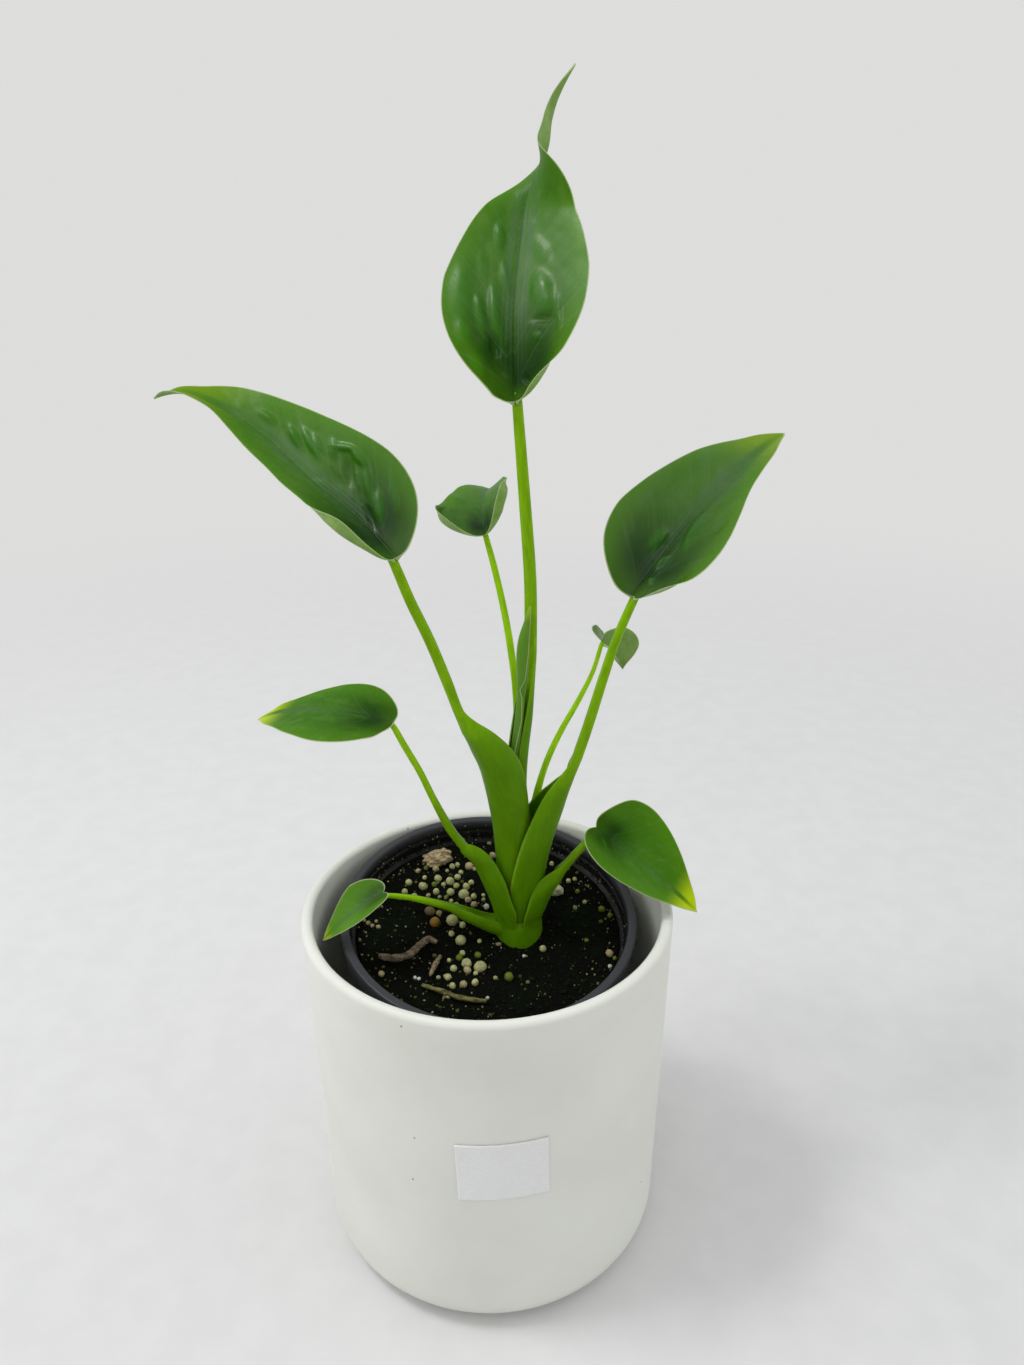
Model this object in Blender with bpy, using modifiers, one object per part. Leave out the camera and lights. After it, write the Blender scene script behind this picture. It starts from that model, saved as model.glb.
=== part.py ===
"""Potted alocasia: a young plant in its nursery pot, which leans in a glazed cover pot.

Blender 4.5, metres, +Z up. The origin is the middle of the cover pot's underside, and the
front of the plant looks along -Y. Sizes below are in millimetres and are turned into metres
when a mesh is made.

Every leaf has a stalk of its own. Low down the stalk is a sheath, a channel that wraps the
younger stalks inside it. Above the sheath it is a round petiole with the blade at its end.
"""
import math

import bmesh
import bpy
import numpy as np
from mathutils import Matrix, Vector

MM = 0.001
GAP = 0.3                       # clearance between pieces that touch

# Cover pot
POT_HEIGHT = 138.0
POT_RIM_RADIUS = 66.5
POT_BASE_RADIUS = 63.7
POT_WALL = 4.2
POT_FLOOR = 7.0
POT_EDGE = 12.8                 # rounding where the side meets the base
POT_INNER_EDGE = 9.0
POT_STEPS = 48

# Blank paper label on the front of the cover pot
LABEL_WIDTH = 31.0
LABEL_HEIGHT = 24.5
LABEL_THICK = 0.3
LABEL_MIDDLE = (3.4, 77.0)      # distance along the wall to the right of the front, height
LABEL_TURN = math.radians(1.5)

# Nursery pot, in its own frame: its rim plane is z = 0 and its axis is z
NURSERY_RIM = 54.8
NURSERY_SKIRT = 9.0
NURSERY_SKIRT_END = 54.0        # outer radius at the skirt's lower edge
NURSERY_LIP = 3.2
NURSERY_WALL = 1.2
NURSERY_TOP = 50.6              # outer radius just under the ledge
NURSERY_BASE = 33.0
NURSERY_HEIGHT = 117.7
NURSERY_CENTRE = (0.5, 6.9, 129.0)
NURSERY_LEAN = math.radians(9.3)
NURSERY_ROLL = math.radians(2.0)
DRAIN_COUNT = 6
DRAIN_RADIUS = 4.0
DRAIN_CIRCLE = 22.0

# Soil
SOIL_DEPTH = 9.5                # from the rim plane down to the soil
PELLET_COUNT = 46
PELLET_SEED = 11

# Crown, the swollen foot of the plant
CROWN_MIDDLE = (11.3, 9.6)
CROWN_TOP = 126.0
CROWN_ROWS = ((98.0, 3.6, 4.0), (101.0, 6.0, 7.0), (107.0, 8.0, 9.4), (113.0, 8.9, 10.4),
              (118.0, 9.1, 10.8), (122.5, 9.1, 10.8), (CROWN_TOP, 8.9, 10.5))
SHEATH_WALL = 0.95

# Each stalk is a keel direction in degrees and rows of x, y, z, radius, the angles that the
# section covers counter-clockwise and clockwise of its keel as seen from above, and how solid
# it is: 0 is an open sheath, 1 a full petiole.
STALKS = {
    "left_tall": (185.0, (
        (11.2, 8.0, 126.3, 5.6, 155, 150, 0.0), (10.8, 8.0, 138, 6.2, 152, 145, 0.0),
        (10.5, 8.0, 149, 7.0, 149, 140, 0.0), (9.6, 8.0, 166, 7.4, 144, 128, 0.0),
        (7.0, 8.0, 186, 8.4, 141, 104, 0.0), (3.9, 8.0, 195, 8.6, 140, 86, 0.0),
        (0.2, 8.0, 201, 7.2, 134, 68, 0.1), (-4.9, 8.0, 205.5, 3.9, 130, 74, 0.55),
        (-8.5, 8.0, 210.6, 2.2, 127, 118, 0.92), (-12.0, 8.2, 220.7, 2.05, 128, 128, 1.0),
        (-17.3, 9.0, 235.2, 2.0, 130, 130, 1.0), (-23.2, 9.5, 249, 1.9, 132, 132, 1.0),
        (-28.2, 10.0, 262.7, 1.75, 135, 135, 1.0))),
    "right_tall": (0.0, (
        (11.3, 8.0, 126.3, 7.2, 136, 140, 0.0), (11.8, 8.0, 136, 8.3, 122, 122, 0.0),
        (12.4, 8.0, 145, 9.0, 118, 115, 0.0), (13.6, 8.0, 153, 9.2, 114, 112, 0.0),
        (16.2, 8.0, 162, 8.8, 114, 113, 0.0), (20.0, 8.0, 171, 7.7, 112, 117, 0.0),
        (24.0, 8.0, 179, 5.9, 84, 121, 0.1), (28.0, 8.4, 184.5, 3.8, 76, 120, 0.45),
        (31.5, 9.0, 189.2, 2.3, 118, 125, 0.9), (33.4, 9.5, 194, 2.1, 128, 128, 1.0),
        (36.6, 10.0, 204.4, 2.0, 130, 130, 1.0), (40.8, 11.0, 219, 1.85, 131, 131, 1.0),
        (45.2, 12.0, 233.2, 1.7, 132, 132, 1.0), (49.5, 12.0, 247.7, 1.6, 135, 135, 1.0))),
    "top": (60.0, (
        (11.2, 8.2, 126.3, 3.7, 150, 150, 0.0), (10.9, 8.6, 150, 3.9, 150, 150, 0.0),
        (10.7, 8.8, 170, 3.9, 150, 150, 0.0), (11.0, 9.2, 184, 3.8, 150, 150, 0.0),
        (11.9, 10.0, 194, 3.65, 148, 148, 0.0), (13.4, 11.2, 205, 3.5, 142, 142, 0.0),
        (14.6, 12.8, 214, 3.0, 130, 130, 0.3), (15.8, 14.6, 222, 2.4, 126, 126, 0.9),
        (16.4, 15.0, 231, 2.2, 128, 128, 1.0), (16.4, 16.0, 253.4, 2.1, 130, 130, 1.0),
        (14.7, 17.0, 280.2, 1.95, 132, 132, 1.0), (11.7, 18.0, 310.5, 1.75, 135, 135, 1.0))),
    "left_low": (185.0, (
        (11.2, 8.0, 126.3, 8.6, 78, 66, 0.0), (10.6, 8.0, 132, 9.3, 84, 66, 0.0),
        (8.4, 8.0, 138.5, 9.2, 86, 62, 0.0), (5.2, 8.0, 145, 8.4, 96, 62, 0.0),
        (0.9, 7.5, 151, 6.4, 112, 62, 0.1), (-3.2, 6.8, 155, 5.0, 130, 62, 0.3),
        (-6.2, 6.3, 157.3, 3.6, 134, 74, 0.6), (-9.0, 5.6, 159.6, 2.0, 124, 115, 0.95),
        (-12.9, 4.4, 166.3, 1.75, 128, 128, 1.0),
        (-17.8, 2.2, 178.7, 1.4, 130, 130, 1.0), (-22.1, 1.0, 190.3, 1.25, 132, 132, 1.0),
        (-27.0, 0.2, 201, 1.2, 134, 134, 1.0), (-30.6, 0.0, 208.7, 1.1, 135, 135, 1.0))),
    "right_low": (345.0, (
        (11.5, 8.0, 126.3, 8.6, 62, 66, 0.0), (12.7, 7.9, 130, 8.9, 62, 72, 0.0),
        (14.4, 7.6, 134, 8.6, 62, 76, 0.0), (17.6, 7.0, 139.4, 7.6, 62, 90, 0.05),
        (21.8, 5.8, 144, 5.4, 70, 112, 0.35), (27.0, 4.4, 148.4, 2.4, 108, 122, 0.9),
        (31.8, 3.8, 154.4, 1.65, 128, 128, 1.0), (35.7, 4.6, 158.6, 1.45, 132, 132, 1.0),
        (38.5, 5.7, 162.1, 1.3, 135, 135, 1.0))),
    "left_front": (200.0, (
        (-2.6, 4.4, 127.4, 3.9, 126, 112, 0.4), (-6.6, 3.0, 130.4, 3.4, 124, 112, 0.5),
        (-10.6, 2.0, 133.2, 2.5, 122, 116, 0.75), (-14.1, 1.0, 135.3, 1.7, 124, 124, 1.0),
        (-20.7, -0.4, 138.5, 1.4, 130, 130, 1.0), (-27.6, -3.0, 142.2, 1.1, 132, 132, 1.0),
        (-35.6, -5.8, 145.7, 0.95, 135, 135, 1.0))),
    "mid_back": (100.0, (
        (10.7, 17.7, 126.3, 1.7, 130, 130, 1.0), (10.4, 19.3, 140, 1.8, 130, 130, 1.0),
        (10.4, 20.8, 156, 1.7, 130, 130, 1.0), (11.4, 22.0, 175, 1.5, 130, 130, 1.0),
        (12.0, 24.5, 195, 1.35, 130, 130, 1.0), (11.7, 28.0, 209, 1.3, 132, 132, 1.0),
        (10.3, 35.0, 221.3, 1.3, 132, 132, 1.0), (8.2, 45.0, 233.1, 1.25, 134, 134, 1.0),
        (5.2, 54.0, 245.7, 1.2, 135, 135, 1.0), (2.0, 57.7, 257.5, 1.1, 135, 135, 1.0))),
    "right_back": (60.0, (
        (14.7, 17.7, 126.3, 1.7, 130, 130, 1.0), (15.0, 19.3, 140, 1.8, 130, 130, 1.0),
        (16.4, 20.8, 155, 1.7, 130, 130, 1.0), (18.6, 23.0, 166, 1.5, 130, 130, 1.0),
        (20.9, 26.0, 173.8, 1.25, 130, 130, 1.0), (24.3, 33.0, 179.5, 1.2, 132, 132, 1.0),
        (29.7, 42.0, 186.0, 1.15, 132, 132, 1.0), (36.8, 52.0, 193.4, 1.05, 134, 134, 1.0),
        (43.2, 62.0, 201.1, 0.9, 135, 135, 1.0), (47.3, 69.2, 210.4, 0.9, 135, 135, 1.0))),
}

# The root of the lowest stalk, which has grown together with the crown
LOW_ROOT = (200.0, (
    (7.5, 7.2, 121.0, 4.8, 120, 120, 1.0), (4.2, 6.4, 123.4, 4.4, 122, 120, 0.8),
    (1.2, 5.5, 124.9, 4.1, 124, 116, 0.6), (-2.35, 4.5, 127.2, 3.9, 126, 112, 0.4)))

# The youngest leaf, still rolled up: x, y, z, radius
NEW_LEAF = ((10.3, 7.6, 150, 1.9), (10.3, 7.9, 172, 2.0), (10.5, 8.0, 186, 2.0),
            (11.2, 8.2, 196, 1.9), (12.2, 8.7, 206, 1.7), (12.9, 9.2, 214, 1.6),
            (13.4, 9.3, 221, 2.0), (13.6, 9.4, 229, 2.4), (14.1, 9.6, 235, 2.1),
            (15.2, 10.0, 241, 1.2), (16.1, 10.4, 246, 0.35))

# Blades: place of the sinus where the petiole ends, length, width, compass direction and
# rise of the midrib, roll about it, then the bending along it and across it in degrees, and
# the outline in fractions of the length: basal lobe, widest place, belly, and tip handle.
BLADES = {
    "left_tall": dict(base=(-27.7, 10.0, 263.5), length=106.5, width=43.6, yaw=136.9,
                      pitch=35.6, roll=-19.4, droop=6.5, sickle=36.7, twist=31.7, fold=25.0,
                      cup=30.2, lobe=0.03, wide=0.237, belly=0.091, tip=(0.939, 0.347),
                      lean=-0.05),
    "right_tall": dict(base=(50.5, 12.0, 248.4), length=110.5, width=42.4, yaw=42.2,
                       pitch=35.0, roll=21.9, droop=33.2, sickle=0.4, twist=-19.7, fold=24.9,
                       cup=5.0, lobe=0.038, wide=0.219, belly=0.099, tip=(0.908, 0.245),
                       lean=0.11),
    "top": dict(base=(11.8, 18.0, 311.4), length=114.2, width=49.7, yaw=87.1, pitch=54.6,
                roll=-16.7, droop=-10.8, sickle=-28.2, twist=-84.8, turn=(0.563, 0.214),
                fold=7.1, cup=2.1, lobe=0.0, wide=0.36, belly=0.062, tip=(0.779, 0.282),
                lean=0.016),
    "left_low": dict(base=(-30.3, 0.0, 209.8), length=59.6, width=33.8, yaw=162.7, pitch=8.4,
                     roll=-13.0, droop=46.6, sickle=-12.8, twist=0.0, fold=4.0, cup=0.2,
                     lobe=0.031, wide=0.294, belly=0.181, tip=(0.815, 0.195), lean=0.1),
    "right_low": dict(base=(39.5, 6.0, 163.7), length=46.5, width=34.2, yaw=-32.6,
                      pitch=-25.7, roll=22.6, droop=23.6, sickle=6.0, twist=-8.4, fold=15.0,
                      cup=22.4, lobe=0.088, wide=0.27, belly=0.139, tip=(0.863, 0.282),
                      lean=0.054),
    "left_front": dict(base=(-36.7, -6.0, 146.4), length=28.4, width=18.3, yaw=194.6,
                       pitch=-27.1, roll=-15.1, droop=27.3, sickle=-4.6, twist=2.9, fold=14.8,
                       cup=23.6, lobe=0.135, wide=0.326, belly=0.074, tip=(0.922, 0.212),
                       lean=0.0),
    "mid_back": dict(base=(1.6, 58.0, 258.0), length=40.6, width=36.4, yaw=95.2, pitch=35.5,
                     roll=-23.3, droop=58.6, sickle=-2.9, twist=17.3, fold=32.8, cup=4.0,
                     lobe=0.099, wide=0.219, belly=0.078, tip=(0.921, 0.207), lean=0.0),
    "right_back": dict(base=(47.7, 70.0, 210.8), length=19.5, width=23.1, yaw=40.0,
                       pitch=-38.4, roll=-11.6, droop=30.7, sickle=1.8, twist=-13.0, fold=30.0,
                       cup=40.0, lobe=0.326, wide=0.382, belly=0.343, tip=(0.78, 0.266),
                       lean=0.0),
}
LARGE_BLADES = ("left_tall", "right_tall", "top")
BLADE_THICK = 0.8
EDGE_AT = 0.45                  # share of the outline's parameter used up to the widest place
TWIST_ZONE = (0.5, 0.6)         # start and reach of the twist along a blade

# Colours
GLAZE = (0.86, 0.87, 0.83)
PAPER = (0.9, 0.9, 0.9)
BLACK_PLASTIC = (0.02, 0.02, 0.022)
SOIL_COLOUR = (0.03, 0.025, 0.02)
STALK_GREEN = (0.2, 0.38, 0.03)
BLADE_GREEN = (0.03, 0.14, 0.02)
PALE_STONE = (0.55, 0.45, 0.33)
BROWN = (0.24, 0.15, 0.08)


def clear_scene():
    """Remove whatever the opened file holds."""
    for thing in list(bpy.data.objects):
        bpy.data.objects.remove(thing, do_unlink=True)


def new_collection(name):
    """Return a new collection linked to the scene."""
    collection = bpy.data.collections.new(name)
    bpy.context.scene.collection.children.link(collection)
    return collection


def material(name, colour, roughness, metallic=0.0):
    """Return a Principled material."""
    made = bpy.data.materials.new(name)
    made.use_nodes = True
    shader = made.node_tree.nodes["Principled BSDF"]
    shader.inputs["Base Color"].default_value = (*colour, 1.0)
    shader.inputs["Roughness"].default_value = roughness
    shader.inputs["Metallic"].default_value = metallic
    return made


def add_object(name, mesh, collection, finish=None, place=None):
    """Put a mesh in the collection as a named object with one material."""
    made = bpy.data.objects.new(name, mesh)
    if finish is not None:
        mesh.materials.clear()
        mesh.materials.append(finish)
    if place is not None:
        made.matrix_world = place
    collection.objects.link(made)
    return made


def mesh_from(name, points, faces, smooth=True):
    """Make a mesh from points in millimetres, with its faces turned outwards."""
    mesh = bpy.data.meshes.new(name)
    mesh.from_pydata([tuple(float(v) * MM for v in point) for point in points], [], faces)
    work = bmesh.new()
    work.from_mesh(mesh)
    bmesh.ops.recalc_face_normals(work, faces=work.faces)
    work.to_mesh(mesh)
    work.free()
    if smooth:
        mesh.shade_smooth()
    return mesh


def turned(name, profile, steps, finish, collection, place=None):
    """Turn a profile of (radius, height) points round the Z axis."""
    mesh = bpy.data.meshes.new(name)
    points = [(radius * MM, 0.0, height * MM) for radius, height in profile]
    mesh.from_pydata(points, [(i, i + 1) for i in range(len(points) - 1)], [])
    made = add_object(name, mesh, collection, finish, place)
    screw = made.modifiers.new("Turn", "SCREW")
    screw.steps = steps
    screw.render_steps = steps
    screw.use_merge_vertices = True
    screw.merge_threshold = 0.00001
    return made


def arc(middle, radius, start, end, count):
    """Return points along an arc, angles in degrees."""
    angles = np.radians(np.linspace(start, end, count))
    return [(middle[0] + radius * math.cos(a), middle[1] + radius * math.sin(a))
            for a in angles]


def evaluated_mesh(made, name):
    """Return the object's mesh with its modifiers applied."""
    bpy.context.view_layer.update()
    graph = bpy.context.evaluated_depsgraph_get()
    mesh = bpy.data.meshes.new_from_object(made.evaluated_get(graph))
    mesh.name = name
    return mesh


def boolean(made, operation, cutter=None, group=None):
    """Add a Boolean modifier with one object, or with a collection of them."""
    modifier = made.modifiers.new(operation.title(), "BOOLEAN")
    modifier.operation = operation
    modifier.solver = "EXACT"
    if group is not None:
        modifier.operand_type = "COLLECTION"
        modifier.collection = group
    else:
        modifier.object = cutter


def hide_cutter(made):
    """Show a cutter as a wire and keep it out of renders."""
    made.display_type = "WIRE"
    made.hide_render = True


def spline(rows, per_span):
    """Return a smooth run of rows through the given ones (Catmull-Rom)."""
    rows = np.asarray(rows, float)
    padded = np.vstack([2 * rows[0] - rows[1], rows, 2 * rows[-1] - rows[-2]])
    steps = np.linspace(0.0, 1.0, per_span, endpoint=False)[:, None]
    out = []
    for a, b, c, d in zip(padded, padded[1:], padded[2:], padded[3:]):
        out.append(0.5 * (2 * b + (c - a) * steps + (2 * a - 5 * b + 4 * c - d) * steps ** 2
                          + (3 * b - a - 3 * c + d) * steps ** 3))
    return np.vstack(out + [rows[-1:]])


def unit(vectors):
    """Scale vectors to length one."""
    return vectors / np.linalg.norm(vectors, axis=-1, keepdims=True)


def stalk_rings(keel_degrees, rows, per_span, outer=9, inner=5):
    """Return rings of points for a stalk, from its sheath to its tip.

    A ring is the outer arc round the keel, then back along the inner side. The inner side is
    an arc one wall inside the outer one on a sheath and a flat chord on a petiole. A sheath's
    rings lie level, a petiole's stand square to its run.
    """
    table = spline(rows, per_span)
    middle, radius = table[:, :3], table[:, 3]
    ahead, behind = np.radians(table[:, 4]), np.radians(table[:, 5])
    solid = np.clip(table[:, 6], 0.0, 1.0)
    run = unit(np.gradient(middle, axis=0))
    tangent = unit(run * solid[:, None] + np.array([0.0, 0.0, 1.0]) * (1 - solid[:, None]))
    keel = math.radians(keel_degrees)
    side = np.array([-math.sin(keel), math.cos(keel), 0.0])
    outward = unit(np.cross(side, tangent))
    across = np.cross(tangent, outward)
    sweep = np.linspace(0.0, 1.0, outer)
    back = np.linspace(1.0, 0.0, inner + 2)[1:-1]
    rings = []
    for i in range(len(table)):
        def spoke(angle, length):
            return length * (math.cos(angle) * outward[i] + math.sin(angle) * across[i])
        first, last = spoke(-behind[i], radius[i]), spoke(ahead[i], radius[i])
        ring = [spoke(share * (ahead[i] + behind[i]) - behind[i], radius[i]) for share in sweep]
        for share in back:
            edge = 2 * share - 1
            thin = radius[i] - SHEATH_WALL * (1.25 - 0.6 * edge ** 2)
            channel = spoke(share * (ahead[i] + behind[i]) - behind[i], thin)
            swell = 0.25 * (1 - edge ** 2) * 0.5 * (first + last)
            chord = first * (1 - share) + last * share + swell
            ring.append(channel * (1 - solid[i]) + chord * solid[i])
        rings.append(middle[i] + np.array(ring))
    return rings


def loft(name, rings):
    """Close a stack of rings of equal length into one solid."""
    count = len(rings[0])
    points = np.vstack(rings)
    faces = []
    for level in range(len(rings) - 1):
        low, high = level * count, (level + 1) * count
        for i in range(count):
            j = (i + 1) % count
            faces.append((low + i, low + j, high + j, high + i))
    last = (len(rings) - 1) * count
    faces.append(tuple(range(count - 1, -1, -1)))
    faces.append(tuple(range(last, last + count)))
    return mesh_from(name, points, faces)


def round_rings(rows, sides):
    """Return round rings along a run of x, y, z, radius rows."""
    table = np.asarray(rows, float)
    tangent = unit(np.gradient(table[:, :3], axis=0))
    side = unit(np.cross(tangent, np.array([0.31, -0.95, 0.05])))
    other = np.cross(tangent, side)
    angles = np.linspace(0.0, 2 * math.pi, sides, endpoint=False)[:, None]
    return [middle + radius * (np.cos(angles) * a + np.sin(angles) * b)
            for middle, radius, a, b in zip(table[:, :3], table[:, 3], side, other)]


def bezier(handles, t):
    """Return points on a cubic Bezier curve."""
    a, b, c, d = (np.asarray(h, float) for h in handles)
    t = t[:, None]
    return ((1 - t) ** 3 * a + 3 * t * (1 - t) ** 2 * b + 3 * t ** 2 * (1 - t) * c
            + t ** 3 * d)


def blade_outline(q, shape):
    """Return the edge of half a blade as along, across fractions for q from sinus to tip."""
    wide, lobe = shape["wide"], shape["lobe"]
    first = bezier(((0, 0), (-lobe * 1.33, 0.28), (wide - 0.62 * (wide + lobe), 1), (wide, 1)),
                   np.clip(q / EDGE_AT, 0, 1))
    second = bezier(((wide, 1), (wide + shape["belly"], 1), shape["tip"], (1, 0)),
                    np.clip((q - EDGE_AT) / (1 - EDGE_AT), 0, 1))
    return np.where((q < EDGE_AT)[:, None], first, second)


def blade_frames(shape):
    """Return places and directions along the midrib: share of length, point, side, normal."""
    share = np.linspace(-0.35, 1.0, 136)
    ahead = np.clip(share, 0, 1)
    yaw, pitch, roll = (math.radians(shape[key]) for key in ("yaw", "pitch", "roll"))
    run = np.array([math.cos(pitch) * math.cos(yaw), math.cos(pitch) * math.sin(yaw),
                    math.sin(pitch)])
    flat = np.array([-math.sin(yaw), math.cos(yaw), 0.0])
    up = np.cross(run, flat)
    side = flat * math.cos(roll) + up * math.sin(roll)
    up = np.cross(run, side)
    droop = np.radians(shape["droop"]) * ahead[:, None] ** 1.3
    sickle = np.radians(shape["sickle"]) * ahead[:, None] ** 1.5
    start, reach = shape.get("turn", TWIST_ZONE)
    eased = np.clip((ahead[:, None] - start) / reach, 0, 1)
    twist = np.radians(shape["twist"]) * eased * eased * (3 - 2 * eased)
    bent = run * np.cos(droop) - up * np.sin(droop)
    normal = up * np.cos(droop) + run * np.sin(droop)
    path = bent * np.cos(sickle) + side * np.sin(sickle)
    level = side * np.cos(sickle) - bent * np.sin(sickle)
    sides = level * np.cos(twist) + normal * np.sin(twist)
    normals = normal * np.cos(twist) - level * np.sin(twist)
    step = (share[1] - share[0]) * shape["length"]
    points = np.vstack([np.zeros(3), np.cumsum((path[1:] + path[:-1]) / 2 * step, axis=0)])
    points -= points[np.argmin(np.abs(share))]
    return share, points, sides, normals


def bend_blade(shape, along, across):
    """Bend flat blade coordinates, in millimetres, into space."""
    share, points, sides, normals = blade_frames(shape)
    place = np.clip((along / shape["length"] - share[0]) / (share[1] - share[0]), 0,
                    len(share) - 1.001)
    index = place.astype(int)
    weight = (place - index)[..., None]
    middle, side, normal = (values[index] * (1 - weight) + values[index + 1] * weight
                            for values in (points, sides, normals))
    ahead = np.clip(along / shape["length"], 0, 1)
    curl = np.radians(shape["cup"]) / (shape["width"] / 2) * (1 - 0.35 * ahead)
    start = np.radians(shape["fold"]) * (1 - 0.3 * ahead)
    end = start + curl * np.abs(across)
    out = (np.sin(end) - np.sin(start)) / curl * np.sign(across)
    rise = (np.cos(start) - np.cos(end)) / curl
    return np.array(shape["base"]) + middle + side * out[..., None] + normal * rise[..., None]


def blade_grid(shape, rows, columns):
    """Return the blade's middle surface as a grid of points, sinus row to tip row."""
    q = np.linspace(0.0, 1.0, rows + 1)
    edge = blade_outline(q, shape)
    share = np.linspace(-1.0, 1.0, 2 * columns + 1)[None, :]
    along = (q[:, None] ** 1.25 * (1 - np.abs(share)) + edge[:, :1] * np.abs(share))
    across = share * edge[:, 1:] * shape["width"] / 2 * (1 + np.sign(share) * shape["lean"])
    return bend_blade(shape, along * shape["length"], across)


def blade_mesh(name, shape, rows, columns):
    """Make a blade: two like faces, half a thickness either side of the middle surface."""
    grid = blade_grid(shape, rows, columns)
    inside = grid[1:-1]
    down = np.gradient(grid, axis=0)[1:-1]
    over = np.gradient(inside, axis=1)
    normal = unit(np.cross(down, over))
    wide = grid.shape[1]
    centre = wide // 2
    half = BLADE_THICK / 2
    ends = grid[[0, -1], centre]
    end_normal = normal[[0, -1], centre]
    upper = np.vstack([ends[:1] + half * end_normal[:1], (inside + half * normal).reshape(-1, 3),
                       ends[1:] + half * end_normal[1:]])
    lower = np.vstack([ends[:1] - half * end_normal[:1], (inside - half * normal).reshape(-1, 3),
                       ends[1:] - half * end_normal[1:]])
    triangles = blade_triangles(len(inside), wide)
    count = len(upper)
    faces = list(triangles)
    faces += [(c + count, b + count, a + count) for a, b, c in triangles]
    rim = blade_rim(len(inside), wide)
    for a, b in zip(rim, rim[1:] + rim[:1]):
        faces += [(a, a + count, b + count), (a, b + count, b)]
    return mesh_from(name, np.vstack([upper, lower]), faces)


def blade_triangles(rows, wide):
    """Return the triangles of one face: a fan, a split grid and a fan."""
    tip = rows * wide + 1
    faces = [(0, 1 + j, 2 + j) for j in range(wide - 1)]
    for i in range(rows - 1):
        for j in range(wide - 1):
            a = 1 + i * wide + j
            faces += [(a, a + wide, a + 1), (a + 1, a + wide, a + wide + 1)]
    last = 1 + (rows - 1) * wide
    faces += [(last + j, tip, last + j + 1) for j in range(wide - 1)]
    return faces


def blade_rim(rows, wide):
    """Return the vertices round the edge of one face, in order."""
    left = [1 + i * wide for i in range(rows)]
    right = [1 + i * wide + wide - 1 for i in range(rows)]
    return [0] + left + [rows * wide + 1] + right[::-1]


def nursery_place():
    """Return the nursery pot's own frame in the world."""
    return (Matrix.Translation(Vector(NURSERY_CENTRE) * MM)
            @ Matrix.Rotation(NURSERY_ROLL, 4, "Y") @ Matrix.Rotation(NURSERY_LEAN, 4, "X"))


def build_cover_pot(group):
    """Glazed pot: slightly tapered, round rim, soft edge at the base."""
    finish = material("glaze", GLAZE, 0.35)
    lip = POT_WALL / 2
    inner_rim = POT_RIM_RADIUS - POT_WALL
    inner_base = POT_BASE_RADIUS - POT_WALL
    profile = [(0.0, POT_FLOOR)]
    profile += arc((inner_base - POT_INNER_EDGE, POT_FLOOR + POT_INNER_EDGE), POT_INNER_EDGE,
                   -90, 0, 4)
    profile += arc((inner_rim + lip, POT_HEIGHT - lip), lip, 180, 0, 5)
    profile += arc((POT_BASE_RADIUS - POT_EDGE, POT_EDGE), POT_EDGE, 0, -90, 6)
    profile += [(0.0, 0.0)]
    return turned("cover_pot", profile, POT_STEPS, finish, group)


def build_label(group):
    """Blank label: a thin sheet that follows the wall of the pot."""
    columns = 8
    taper = (POT_RIM_RADIUS - POT_BASE_RADIUS) / POT_HEIGHT
    points = []
    for lift in (GAP, GAP + LABEL_THICK):
        for j in (-1, 1):
            for i in range(columns + 1):
                x, y = (i / columns - 0.5) * LABEL_WIDTH, j * LABEL_HEIGHT / 2
                along = LABEL_MIDDLE[0] + x * math.cos(LABEL_TURN) - y * math.sin(LABEL_TURN)
                height = LABEL_MIDDLE[1] + x * math.sin(LABEL_TURN) + y * math.cos(LABEL_TURN)
                radius = POT_BASE_RADIUS + taper * height + lift
                angle = along / radius
                points.append((radius * math.sin(angle), -radius * math.cos(angle), height))
    row = columns + 1
    faces = []
    for i in range(columns):
        faces.append((i, i + 1, row + i + 1, row + i))
        faces.append((2 * row + i, 3 * row + i, 3 * row + i + 1, 2 * row + i + 1))
        faces.append((i, 2 * row + i, 2 * row + i + 1, i + 1))
        faces.append((row + i, row + i + 1, 3 * row + i + 1, 3 * row + i))
    faces.append((0, row, 3 * row, 2 * row))
    faces.append((columns, 2 * row + columns, 3 * row + columns, row + columns))
    mesh = mesh_from("label", points, faces, smooth=False)
    return add_object("label", mesh, group, material("label_paper", PAPER, 0.6))


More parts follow.
